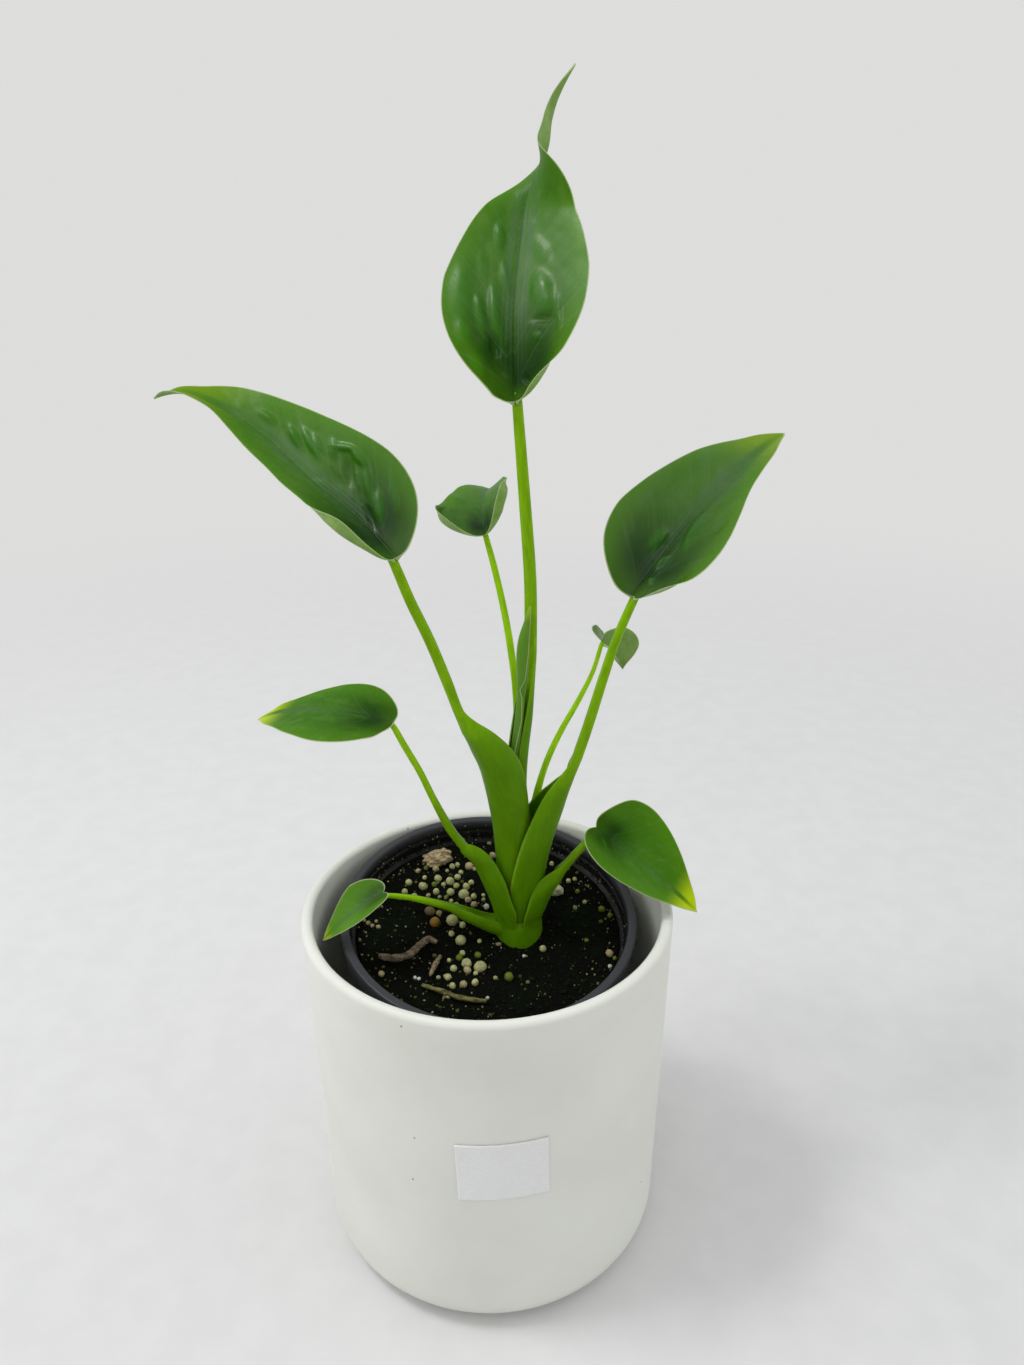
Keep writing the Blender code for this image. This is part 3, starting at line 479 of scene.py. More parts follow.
def make_label():
    """Point (x, y) on the flat label goes to angle x / radius and height y on the tapered wall.
    The corners lift by x^6 y^2, and the crease is a short ridge."""
    rows, columns = 33, 41
    y = np.linspace(-0.5, 0.5, rows)[:, None] * LABEL_HEIGHT
    x = np.linspace(-0.5, 0.5, columns)[None, :] * LABEL_WIDTH
    along = LABEL_MIDDLE[0] + x * math.cos(LABEL_TURN) - y * math.sin(LABEL_TURN)
    height = LABEL_MIDDLE[1] + x * math.sin(LABEL_TURN) + y * math.cos(LABEL_TURN)
    corner = (np.abs(x) / CORNER_AT[0]) ** 6 * (np.abs(y) / CORNER_AT[1]) ** 2
    beside, up = x - CREASE_AT[0], y - CREASE_AT[1]
    crease = np.exp(-((beside - 0.25 * up) / 0.35) ** 2) * np.exp(-(up / 2.6) ** 2)
    lift = 0.22 + 0.35 * corner + 0.25 * crease + 0.04 * lumps(x + 50, y + 50, 6.0, 5)
    taper = (POT_RIM_RADIUS - POT_BASE_RADIUS) / POT_HEIGHT
    layers = []
    for rise in (lift + LABEL_RISE, np.full_like(lift, -LABEL_SUNK)):
        radius = POT_BASE_RADIUS + taper * height + rise
        layers.append(np.stack([radius * np.sin(along / radius), -radius * np.cos(along / radius),
                                height], -1).reshape(-1, 3))
    return lay_piece("bare_paper_label", np.vstack(layers), sheet_faces(rows, columns),
                     paper_finish(), ("label",))


make_label()

# %% [markdown]
# The nursery pot is thin black plastic with a turned-down rim, two moulded ledges inside and six
# drain holes in its floor. It is turned like the cover pot and then placed with its own lean.
# The holes are cut out last, because a turned profile can't hold them. Dust and soil smears
# break up the black, and very fine rings are left by the mould.

# %% Nursery pot
NURSERY_RIM = 54.8
NURSERY_SKIRT = 9.0
NURSERY_SKIRT_END = 54.0
NURSERY_LIP = 3.2
NURSERY_WALL = 1.2
NURSERY_TOP = 50.6
NURSERY_BASE = 33.0
NURSERY_HEIGHT = 117.7
NURSERY_CENTRE = (0.5, 6.9, 129.0)
NURSERY_LEAN = math.radians(9.3)
NURSERY_ROLL = math.radians(2.0)


def in_nursery(points):
    """Own frame to the world: turn by the lean about X, by the roll about Y, then move."""
    turned_by = Matrix.Rotation(NURSERY_ROLL, 3, "Y") @ Matrix.Rotation(NURSERY_LEAN, 3, "X")
    return np.asarray(points) @ np.array(turned_by).T + np.array(NURSERY_CENTRE)


def plastic_finish():
    """Black with a dusty brown film in patches, mould rings and scuffs, and a lighter grey rim
    that is painted sheen.
    """
    made, tree, shader = new_finish("black_plastic", Specular_IOR_Level=0.22)
    place = object_place(tree)
    film = remap(tree, noise(tree, place, 90.0, 6.0, 0.65), 0.45, 0.75)
    tone = mixed(tree, film, (0.006, 0.006, 0.007), (0.014, 0.012, 0.010))
    # Painted sheen: the rim and the top of the skirt are painted a lighter grey.
    tone = mixed(tree, field(tree, "rim"), tone, (0.050, 0.051, 0.058))
    specks = remap(tree, noise(tree, place, 900.0, 2.0), 0.66, 0.74, 0.0, 0.6)
    paint(tree, shader, "Base Color", mixed(tree, specks, tone, (0.10, 0.085, 0.06)))
    paint(tree, shader, "Roughness", remap(tree, film, 0.0, 1.0, 0.42, 0.7))
    rings = noise(tree, stretched(tree, place, (40.0, 40.0, 1400.0)), 1.0, 2.0)
    bumped(tree, shader, maths(tree, "ADD", rings, specks), 0.00012)
    return made


def make_nursery_pot():
    """One closed profile: inside up to the rim, over it, down the skirt and back up the wall."""
    wall, inside = NURSERY_WALL, NURSERY_RIM - NURSERY_LIP
    corners = [(0.0, -NURSERY_HEIGHT + wall), (NURSERY_BASE - wall, -NURSERY_HEIGHT + wall),
               (NURSERY_TOP - wall - 1.0, -16.0), (NURSERY_TOP - wall - 0.2, -9.6),
               (NURSERY_TOP - wall + 0.5, -8.9), (inside - 0.9, -8.4), (inside - 0.75, -5.2),
               (inside - 0.3, -4.6), (inside - 0.1, -1.0), (inside + 0.15, -0.35),
               (inside + 0.6, 0.0), (NURSERY_RIM - 0.7, 0.0), (NURSERY_RIM - 0.2, -0.2),
               (NURSERY_RIM, -0.7), (NURSERY_SKIRT_END, -NURSERY_SKIRT + 0.2),
               (NURSERY_SKIRT_END - 0.4, -NURSERY_SKIRT),
               (NURSERY_SKIRT_END - wall, -NURSERY_SKIRT),
               (NURSERY_RIM - wall - 0.2, -2.2), (inside + wall, -2.6),
               (inside + wall - 0.4, -NURSERY_SKIRT + 1.4), (NURSERY_TOP, -NURSERY_SKIRT),
               (NURSERY_BASE + 0.6, -NURSERY_HEIGHT + 1.0), (NURSERY_BASE, -NURSERY_HEIGHT),
               (0.0, -NURSERY_HEIGHT)]
    spans = [np.vstack([[a], line(a, b, 3)]) for a, b in zip(corners, corners[1:])]
    points, faces = turn(np.vstack(spans + [[corners[-1]]]), 144)
    # The rim field masks the painted sheen on the rim and the skirt.
    fields = {"rim": ease(points[:, 2], -4.0, -1.0) + (points[:, 2] > -9.1)
              * ease(np.hypot(points[:, 0], points[:, 1]), NURSERY_RIM - 1.5, NURSERY_RIM - 0.9)}
    return lay_piece("black_nursery_pot", in_nursery(points), faces, plastic_finish(),
                     ("nursery_pot",), fields)


NURSERY_POT = make_nursery_pot()

# %% Drain holes
DRAIN_COUNT = 6
DRAIN_RADIUS = 4.0
DRAIN_CIRCLE = 22.0
DRAIN_BAR = 8.0
DRAIN_SIDES = 22
DRAIN_START = math.radians(1.0)  # so that no hole's corner meets an edge of the floor


def drill_drains(pot):
    """Take six round bars, spaced evenly on a circle, out of the floor and keep the cut mesh."""
    work = bmesh.new()
    for angle in DRAIN_START + np.arange(DRAIN_COUNT) * (2 * math.pi / DRAIN_COUNT):
        spot = (DRAIN_CIRCLE * math.cos(angle), DRAIN_CIRCLE * math.sin(angle), -NURSERY_HEIGHT)
        bmesh.ops.create_cone(work, cap_ends=True, segments=DRAIN_SIDES, radius1=DRAIN_RADIUS,
                              radius2=DRAIN_RADIUS, depth=DRAIN_BAR,
                              matrix=Matrix.Translation(spot))
    bars = bpy.data.meshes.new("drain_bars")
    work.to_mesh(bars)
    work.free()
    points = in_nursery([tuple(corner.co) for corner in bars.vertices]) * MM
    bars.vertices.foreach_set("co", points.ravel())
    tool = new_object("drain_bars", bars)
    cut = pot.modifiers.new("drains", "BOOLEAN")
    cut.operation, cut.solver, cut.object = "DIFFERENCE", "EXACT", tool
    seen = pot.evaluated_get(bpy.context.evaluated_depsgraph_get())
    done = bpy.data.meshes.new_from_object(seen)
    pot.modifiers.clear()
    pot.data = done
    bpy.data.objects.remove(tool)
    bpy.data.meshes.remove(bars)
    print(f"{DRAIN_COUNT} drain holes cut, {len(done.polygons)} faces")


drill_drains(NURSERY_POT)

# %% [markdown]
# Potting soil is nearly black, wet and crumbly, with a thin green film of algae. The surface is
# a disc of rings whose height is a sum of lumps of several sizes, and its rim runs down the
# inside of the pot to a closed floor.

# %% Soil
SOIL_DEPTH = 9.5
SOIL_RADIUS = 48.9
# Radius and height of the rings below the rim
SOIL_SIDE = ((SOIL_RADIUS + 0.1, -12.0), (42.0, -60.0), (31.4, -116.0))


def soil_height(x, y):
    """Sum of lumps of 9, 3.5, 1.6 and 0.8 mm, in the nursery pot's frame."""
    return (-SOIL_DEPTH + 0.1 + 0.45 * lumps(x, y, 9.0, 21) + 0.4 * lumps(x, y, 3.5, 22)
            + 0.3 * lumps(x, y, 1.6, 23) + 0.16 * lumps(x, y, 0.8, 24))


def soil_finish():
    """Near black; a green film in patches and scattered lighter grains."""
    made, tree, shader = new_finish("potting_soil", Roughness=0.95, Specular_IOR_Level=0.06)
    place = object_place(tree)
    algae = remap(tree, noise(tree, place, 70.0, 5.0, 0.6), 0.5, 0.72)
    tone = mixed(tree, algae, (0.0030, 0.0036, 0.0022), (0.003, 0.008, 0.002))
    grain = remap(tree, noise(tree, place, 1500.0, 2.0), 0.6, 0.75)
    paint(tree, shader, "Base Color", mixed(tree, grain, tone, (0.012, 0.014, 0.007)))
    bumped(tree, shader, noise(tree, place, 900.0, 5.0, 0.7), 0.0006)
    return made


def make_soil():
    """Rings at even steps outwards, then three rings down the side and a pole below."""
    rings, steps = 88, 320
    radius = np.linspace(0.0, SOIL_RADIUS, rings + 1)[1:, None]
    angle = np.linspace(0.0, 2 * math.pi, steps, endpoint=False)[None, :]
    x, y = radius * np.cos(angle), radius * np.sin(angle)
    top = np.stack([x, y, soil_height(x, y)], -1)
    down = []
    for reach, height in SOIL_SIDE:
        down.append(np.stack([reach * np.cos(angle[0]), reach * np.sin(angle[0]),
                              np.full(steps, height)], -1)[None])
    grid = np.vstack([top] + down).reshape(-1, 3)
    poles = [[0.0, 0.0, float(soil_height(0.0, 0.0))], [0.0, 0.0, SOIL_SIDE[-1][1]]]
    return lay_piece("potting_soil", in_nursery(np.vstack([grid, poles])),
                     capped_faces(rings + len(down), steps), soil_finish(), ("soil",))


make_soil()

# %% [markdown]
# Hundreds of crumbs and the round feed pellets lie on the soil. Each is a small ball of few
# faces, stretched, turned and dented by its own seeded numbers. All balls of one kind are
# computed as one array, so they make one mesh. A tint per ball picks its colour.

# %% Scattered balls


def unit_ball(level):
    """Points and triangles of an icosphere: 20 faces at level 1, 80 at level 2."""
    work = bmesh.new()
    bmesh.ops.create_icosphere(work, subdivisions=level, radius=1.0)
    mesh = bpy.data.meshes.new("ball")
    work.to_mesh(mesh)
    work.free()
    points = np.empty(len(mesh.vertices) * 3)
    mesh.vertices.foreach_get("co", points)
    faces = np.empty(len(mesh.polygons) * 3, np.int32)
    mesh.polygons.foreach_get("vertices", faces)
    bpy.data.meshes.remove(mesh)
    return points.reshape(-1, 3), faces.reshape(-1, 3)


def random_turns(draw, count):
    """Rotation matrices from random unit quaternions (w, x, y, z)."""
    w, x, y, z = unit(draw.normal(size=(count, 4))).T
    rows = [[1 - 2 * (y * y + z * z), 2 * (x * y - z * w), 2 * (x * z + y * w)],
            [2 * (x * y + z * w), 1 - 2 * (x * x + z * z), 2 * (y * z - x * w)],
            [2 * (x * z - y * w), 2 * (y * z + x * w), 1 - 2 * (x * x + y * y)]]
    return np.moveaxis(np.array(rows), -1, 0)


def scatter(middles, radii, stretch, dent, level, seed):
    """Ball times radius times a stretch per axis, turned, with every point dented by a share."""
    ball, faces = unit_ball(level)
    draw = np.random.default_rng(seed)
    count = len(middles)
    size = radii[:, None] * draw.uniform(1 - stretch, 1 + stretch, (count, 3))
    shape = ball[None] * size[:, None] * draw.uniform(1 - dent, 1 + dent, (count, len(ball), 1))
    points = np.einsum("nij,nkj->nki", random_turns(draw, count), shape) + middles[:, None]
    index = faces[None] + (np.arange(count) * len(ball))[:, None, None]
    return points.reshape(-1, 3), [index.reshape(-1, 3)], len(ball)


print("faces of the two balls:", len(unit_ball(1)[1]), len(unit_ball(2)[1]))

# %% Crumbs
CRUMB_TONES = ((0.0, (0.003, 0.004, 0.002)), (0.45, (0.006, 0.008, 0.004)),
               (0.62, (0.025, 0.022, 0.010)), (0.78, (0.18, 0.15, 0.06)),
               (0.9, (0.46, 0.42, 0.24)), (1.0, (0.10, 0.13, 0.02)))
CRUMB_COUNT = 2600
CRUMB_SHAPE = (0.35, 0.18, 1)  # stretch, dent and level of the ball
LEDGE_BACK = 300
LEDGE_ROUND = 120


def ramp(tree, value, stops, interpolation="LINEAR"):
    """A colour ramp with the given stops."""
    made = add_node(tree, "ValToRGB", {0: value})
    made.color_ramp.interpolation = interpolation
    elements = made.color_ramp.elements
    while len(elements) < len(stops):
        elements.new(0.5)
    for element, (place, tone) in zip(elements, stops):
        element.position = place
        element.color = (*tone, 1.0)
    return made.outputs[0]


def crumb_finish():
    """Tint picks from black peat through bark brown to pale grit and a green one."""
    made, tree, shader = new_finish("soil_crumbs", Roughness=0.9, Specular_IOR_Level=0.1)
    speckle = noise(tree, object_place(tree), 1800.0, 3.0)
    tone = ramp(tree, field(tree, "tint"), CRUMB_TONES)
    shade = mixed(tree, remap(tree, speckle, 0.3, 0.7, 0.0, 0.6), tone, (0.01, 0.012, 0.006))
    paint(tree, shader, "Base Color", shade)
    bumped(tree, shader, speckle, 0.0003)
    return made


def make_crumbs():
    """Even over the disc, with the light grit drawn towards the left and the wall."""
    draw = np.random.default_rng(31)
    count = CRUMB_COUNT
    reach = SOIL_RADIUS * np.sqrt(draw.uniform(0.0, 0.985, count))
    angle = draw.uniform(0.0, 2 * math.pi, count)
    x, y = reach * np.cos(angle), reach * np.sin(angle)
    light = 0.10 + 0.16 * (x < -8) + 0.22 * (reach > 45.0)
    tint = np.where(draw.random(count) < light, draw.uniform(0.66, 0.96, count),
                    draw.uniform(0.0, 0.6, count))
    tint = np.where(draw.random(count) < 0.05, 1.0, tint)
    radius = draw.uniform(0.18, 0.5, count) + 0.45 * (draw.random(count) < 0.06)
    z = soil_height(x, y) + 0.25 * radius
    points, faces, each = scatter(np.stack([x, y, z], -1), radius, *CRUMB_SHAPE, 32)
    fields = {"tint": np.repeat(tint, each)}
    return lay_piece("soil_crumbs", in_nursery(points), faces, crumb_finish(), (), fields)


def make_wall_crumbs():
    """Grit caught on the inner ledge and wall, mostly at the back."""
    draw = np.random.default_rng(41)
    count = LEDGE_BACK + LEDGE_ROUND
    angle = np.concatenate([draw.normal(math.radians(95), 0.75, LEDGE_BACK),
                            draw.uniform(0, 2 * math.pi, LEDGE_ROUND)])
    depth = draw.choice([-8.0, -4.3, -6.5, -2.0], count, p=[0.5, 0.25, 0.15, 0.1])
    depth = depth + draw.normal(0.0, 0.45, count)
    reach = np.interp(depth, [-9.5, -8.4, -5.2, -4.6, -1.0], [49.6, 50.4, 50.6, 51.0, 51.3]) - 0.1
    radius = draw.uniform(0.14, 0.42, count)
    middles = np.stack([reach * np.cos(angle), reach * np.sin(angle), depth], -1)
    points, faces, each = scatter(middles, radius, *CRUMB_SHAPE, 42)
    fields = {"tint": np.repeat(draw.uniform(0.35, 0.9, count), each)}
    return lay_piece("wall_crumbs", in_nursery(points), faces, crumb_finish(), (), fields)


make_crumbs()
make_wall_crumbs()

# %% Feed pellets
# x, y and radius on the soil, and a kind: 0 cream, 1 tan, 2 brown, 3 orange, 4 green, 5 white
PELLETS = (
    (-31.1, 24.0, 1.4, 0), (-25.4, 22.1, 1.8, 0), (-19.7, 26.4, 1.6, 0), (-20.2, 18.8, 1.3, 0),
    (-14.9, 24.4, 1.8, 0), (-12.0, 27.3, 1.4, 0), (-8.5, 22.3, 1.5, 0), (-9.5, 18.1, 2.0, 0),
    (-6.6, 24.9, 1.2, 0), (-14.6, 18.5, 1.6, 0), (-17.4, 23.0, 1.0, 0), (-5.6, 16.8, 1.2, 0),
    (-7.4, 33.9, 1.8, 1), (-22.2, 8.3, 2.0, 2), (-18.8, 7.9, 1.2, 1), (-20.2, 2.6, 1.9, 3),
    (-13.7, 3.7, 2.3, 0), (-9.7, 1.0, 1.35, 0), (-10.4, -6.4, 2.1, 0), (-13.8, -3.4, 1.15, 0),
    (-8.1, -17.9, 1.9, 0), (-10.7, -14.9, 1.3, 4), (-3.2, -19.7, 2.4, 0), (-4.0, -14.2, 1.3, 4),
    (-12.7, -20.1, 1.3, 0), (-14.6, -23.8, 1.4, 0), (-5.0, -26.7, 1.3, 0), (-0.7, 10.9, 1.2, 5),
    (27.4, 20.7, 1.8, 0), (35.0, 19.3, 1.0, 4), (37.4, 14.0, 0.9, 0), (43.6, 9.8, 1.4, 4),
    (46.5, 6.8, 1.1, 4), (19.9, -10.6, 1.4, 0), (12.8, -14.0, 0.7, 5), (36.4, -5.9, 0.9, 4),
    (7.0, -24.9, 1.7, 4), (-0.7, -33.7, 0.7, 5), (-38.3, -22.7, 1.3, 1), (-26.3, -24.2, 0.7, 5),
    (-24.9, -24.6, 0.7, 5), (2.0, 40.0, 1.4, 1), (44.2, -13.0, 1.5, 1), (46.0, -14.8, 0.8, 4),
    (43.8, -18.8, 0.9, 5), (-46.8, 3.8, 0.8, 1), (-45.0, 1.9, 0.9, 1), (-43.4, 0.6, 0.8, 1),
    (-41.1, -0.1, 0.9, 1), (-42.1, 2.8, 0.7, 1))
PELLET_TONES = ((0.0, (0.50, 0.50, 0.23)), (0.17, (0.42, 0.34, 0.19)), (0.37, (0.17, 0.12, 0.06)),
                (0.57, (0.30, 0.15, 0.02)), (0.77, (0.13, 0.17, 0.012)), (0.97, (0.66, 0.66, 0.56)))
# Middle, spread and number of the seeded clusters
CLUSTERS = (((-17.0, 21.0), (9.5, 7.0), 60), ((-8.0, -19.0), (6.0, 6.0), 20),
            ((14.0, 33.0), (14.0, 5.0), 22))
PLANT_FOOT = (11.0, 8.0)
FOOT_RADIUS = 13.0


def pellet_finish():
    """Kind picks the colour; stains darken and green it in patches, with a rough skin."""
    made, tree, shader = new_finish("feed_pellets", Roughness=0.55, Specular_IOR_Level=0.3)
    place = object_place(tree)
    tone = ramp(tree, field(tree, "kind"), PELLET_TONES, "CONSTANT")
    stain = remap(tree, noise(tree, place, 420.0, 5.0, 0.7), 0.42, 0.72, 0.0, 0.65)
    paint(tree, shader, "Base Color", mixed(tree, stain, tone, (0.10, 0.12, 0.02)))
    bumped(tree, shader, noise(tree, place, 1400.0, 4.0), 0.00035)
    return made


def make_pellets():
    """The placed pellets, and more in seeded clusters to the left and behind the plant."""
    draw = np.random.default_rng(51)
    extra = np.vstack([draw.normal(middle, spread, (count, 2))
                       for middle, spread, count in CLUSTERS])
    placed = np.array(PELLETS)
    gap = np.linalg.norm(extra[:, None] - placed[None, :, :2], axis=-1).min(axis=1)
    apart = np.linalg.norm(extra[:, None] - extra[None], axis=-1) + 99 * np.tri(len(extra))
    clear = np.hypot(*(extra - PLANT_FOOT).T) > FOOT_RADIUS
    keep = (gap > 2.4) & (apart.min(axis=1) > 2.2) & clear & (np.hypot(*extra.T) < 45.0)
    extra = extra[keep]
    middles = np.vstack([placed[:, :2], extra])
    radius = np.concatenate([placed[:, 2], draw.uniform(0.7, 1.5, len(extra))])
    kind = np.concatenate([placed[:, 3], draw.choice([0, 0, 0, 1, 4], len(extra))]) / 5.0
    z = soil_height(middles[:, 0], middles[:, 1]) + 0.45 * radius
    points, faces, each = scatter(np.column_stack([middles, z]), radius, 0.10, 0.035, 2, 52)
    fields = {"kind": np.repeat(np.clip(kind, 0.0, 0.98), each)}
    return lay_piece("feed_pellets", in_nursery(points), faces, pellet_finish(), (), fields)


make_pellets()

# %% [markdown]
# Bits of bark and root lie on the soil. A chip is a ball pressed flat below and broken up by
# lumps; a root or twig is a tube whose radius wanders.

# %% Bark chip and stone
CHIPS = {"bark_chip": ((-20.0, 37.0), (6.3, 4.2, 3.0), 20.0, 0.17, 61),
         "pale_stone": ((26.0, 19.0), (3.4, 2.6, 2.2), -15.0, 0.12, 62)}
CHIP_BASE = 0.62  # where the underside is pressed flat, as a share of the height


def bark_finish(name, dark, light):
    """Two browns in a drawn-out grain, with cracks in the height."""
    made, tree, shader = new_finish(name, Roughness=0.85, Specular_IOR_Level=0.15)
    grain = noise(tree, stretched(tree, object_place(tree), (260.0, 700.0, 700.0)), 1.0, 6.0, 0.7)
    paint(tree, shader, "Base Color", mixed(tree, remap(tree, grain, 0.35, 0.65), dark, light))
    bumped(tree, shader, grain, 0.0006)
    return made


def make_chip(name, finish):
    """Ball of 5120 faces with seeded lumps, pressed flat below, stretched, turned and placed."""
    (x, y), size, turn_degrees, rough, seed = CHIPS[name]
    ball, faces = unit_ball(5)
    u, v, w = ball.T
    wobble = 1 + rough * (lumps(u * 9 + 40, v * 9 + w * 5, 3.0, seed)
                          + 0.5 * lumps(u * 9, w * 9 + v * 4, 1.4, seed + 5))
    shape = ball * wobble[:, None]
    shape[:, 2] = np.maximum(shape[:, 2], -CHIP_BASE)
    shape = shape * np.array(size) * 0.97
    turned_by = math.radians(turn_degrees)
    c, s = math.cos(turned_by), math.sin(turned_by)
    shape[:, :2] = shape[:, :2] @ np.array([[c, s], [-s, c]])
    shape += np.array([x, y, -SOIL_DEPTH + 0.3 + CHIP_BASE * size[2]])
    return lay_piece(name + "_shape", in_nursery(shape), [faces], finish, (name,))


make_chip("bark_chip", bark_finish("bark_tan", (0.20, 0.13, 0.06), (0.52, 0.42, 0.26)))
make_chip("pale_stone", bark_finish("stone_cream", (0.40, 0.37, 0.22), (0.62, 0.58, 0.42)))

# %% Root, twig and splinter
RUNS = {
    "root_piece": ((-39.5, -15.5, 1.5, 1.1), (-34, -17, 1.9, 1.35), (-29, -15.5, 2.1, 1.35),
                   (-25, -10.5, 2, 1.3), (-22, -7.5, 1.7, 1.2), (-19, -8.5, 1.2, 0.8)),
    "twig": ((-23.5, -28.5, 0.9, 0.7), (-18, -31, 1.1, 0.85), (-10, -34.5, 1.2, 0.95),
             (-1, -36, 1, 0.7)),
    "splinter": ((-21, -24.5, 0.9, 0.5), (-19.5, -20, 1.3, 1), (-17.5, -15, 1.1, 0.6)),
}


def smooth_rows(rows, per_span):
    """Catmull-Rom through the rows: half of 2b + (c-a)t + (2a-5b+4c-d)t^2 + (3b-a-3c+d)t^3."""
    rows = np.asarray(rows, float)
    padded = np.vstack([2 * rows[0] - rows[1], rows, 2 * rows[-1] - rows[-2]])
    a, b, c, d = (padded[k:len(padded) - 3 + k, None] for k in range(4))
    t = np.linspace(0.0, 1.0, per_span, endpoint=False)[None, :, None]
    spans = 0.5 * (2 * b + (c - a) * t + (2 * a - 5 * b + 4 * c - d) * t ** 2
                   + (3 * b - a - 3 * c + d) * t ** 3)
    return np.vstack([spans.reshape(-1, rows.shape[1]), rows[-1:]])


def wrap_run(middle, side, other, reach, angle):
    """Rings middle + reach (cos a side + sin a other), closed by a pole at each end."""
    rings = (middle[:, None] + (reach * np.cos(angle))[..., None] * side[:, None]
             + (reach * np.sin(angle))[..., None] * other[:, None])
    return np.vstack([rings.reshape(-1, 3), middle[:1], middle[-1:]]), capped_faces(*reach.shape)


def tube(table, sides, rough, seed):
    """Rings square to the run, whose radius wanders by the share rough."""
    middle, radius = table[:, :3], table[:, 3:4]
    run = unit(np.gradient(middle, axis=0))
    side = unit(np.cross(run, [0.31, -0.95, 0.05]))
    other = np.cross(run, side)
    angle = np.linspace(0.0, 2 * math.pi, sides, endpoint=False)[None, :]
    row = np.arange(len(table))[:, None]
    reach = radius * (1 + rough * lumps(row * 0.7 + 90, 3 * np.cos(angle) + 3 * np.sin(angle) + 40,
                                        1.3, seed))
    return wrap_run(middle, side, other, reach, angle)


def make_root(name, finish):
    """A wandering tube that lies on the soil."""
    points, faces = tube(smooth_rows(RUNS[name], 14), 20, 0.22, 71)
    points = points + np.array([0.0, 0.0, -SOIL_DEPTH + 0.45])
    return lay_piece(name + "_shape", in_nursery(points), faces, finish, (name,))


make_root("root_piece", bark_finish("root_grey", (0.055, 0.042, 0.026), (0.25, 0.20, 0.13)))
make_root("twig", bark_finish("twig_moss", (0.045, 0.050, 0.010), (0.24, 0.22, 0.08)))
make_root("splinter", bark_finish("splinter_tan", (0.10, 0.07, 0.035), (0.34, 0.27, 0.16)))

# %% [markdown]
# The foot of the plant is a smooth swollen crown. Each leaf rises from it as a sheath, an open
# channel with thin pale margins that wraps the younger stalks, and narrows into a round, fleshy,
# glowing green stalk. All are a cross-section carried along a run of rows: place, radius, how
# far the wall reaches round on both sides, and how solid the section is.

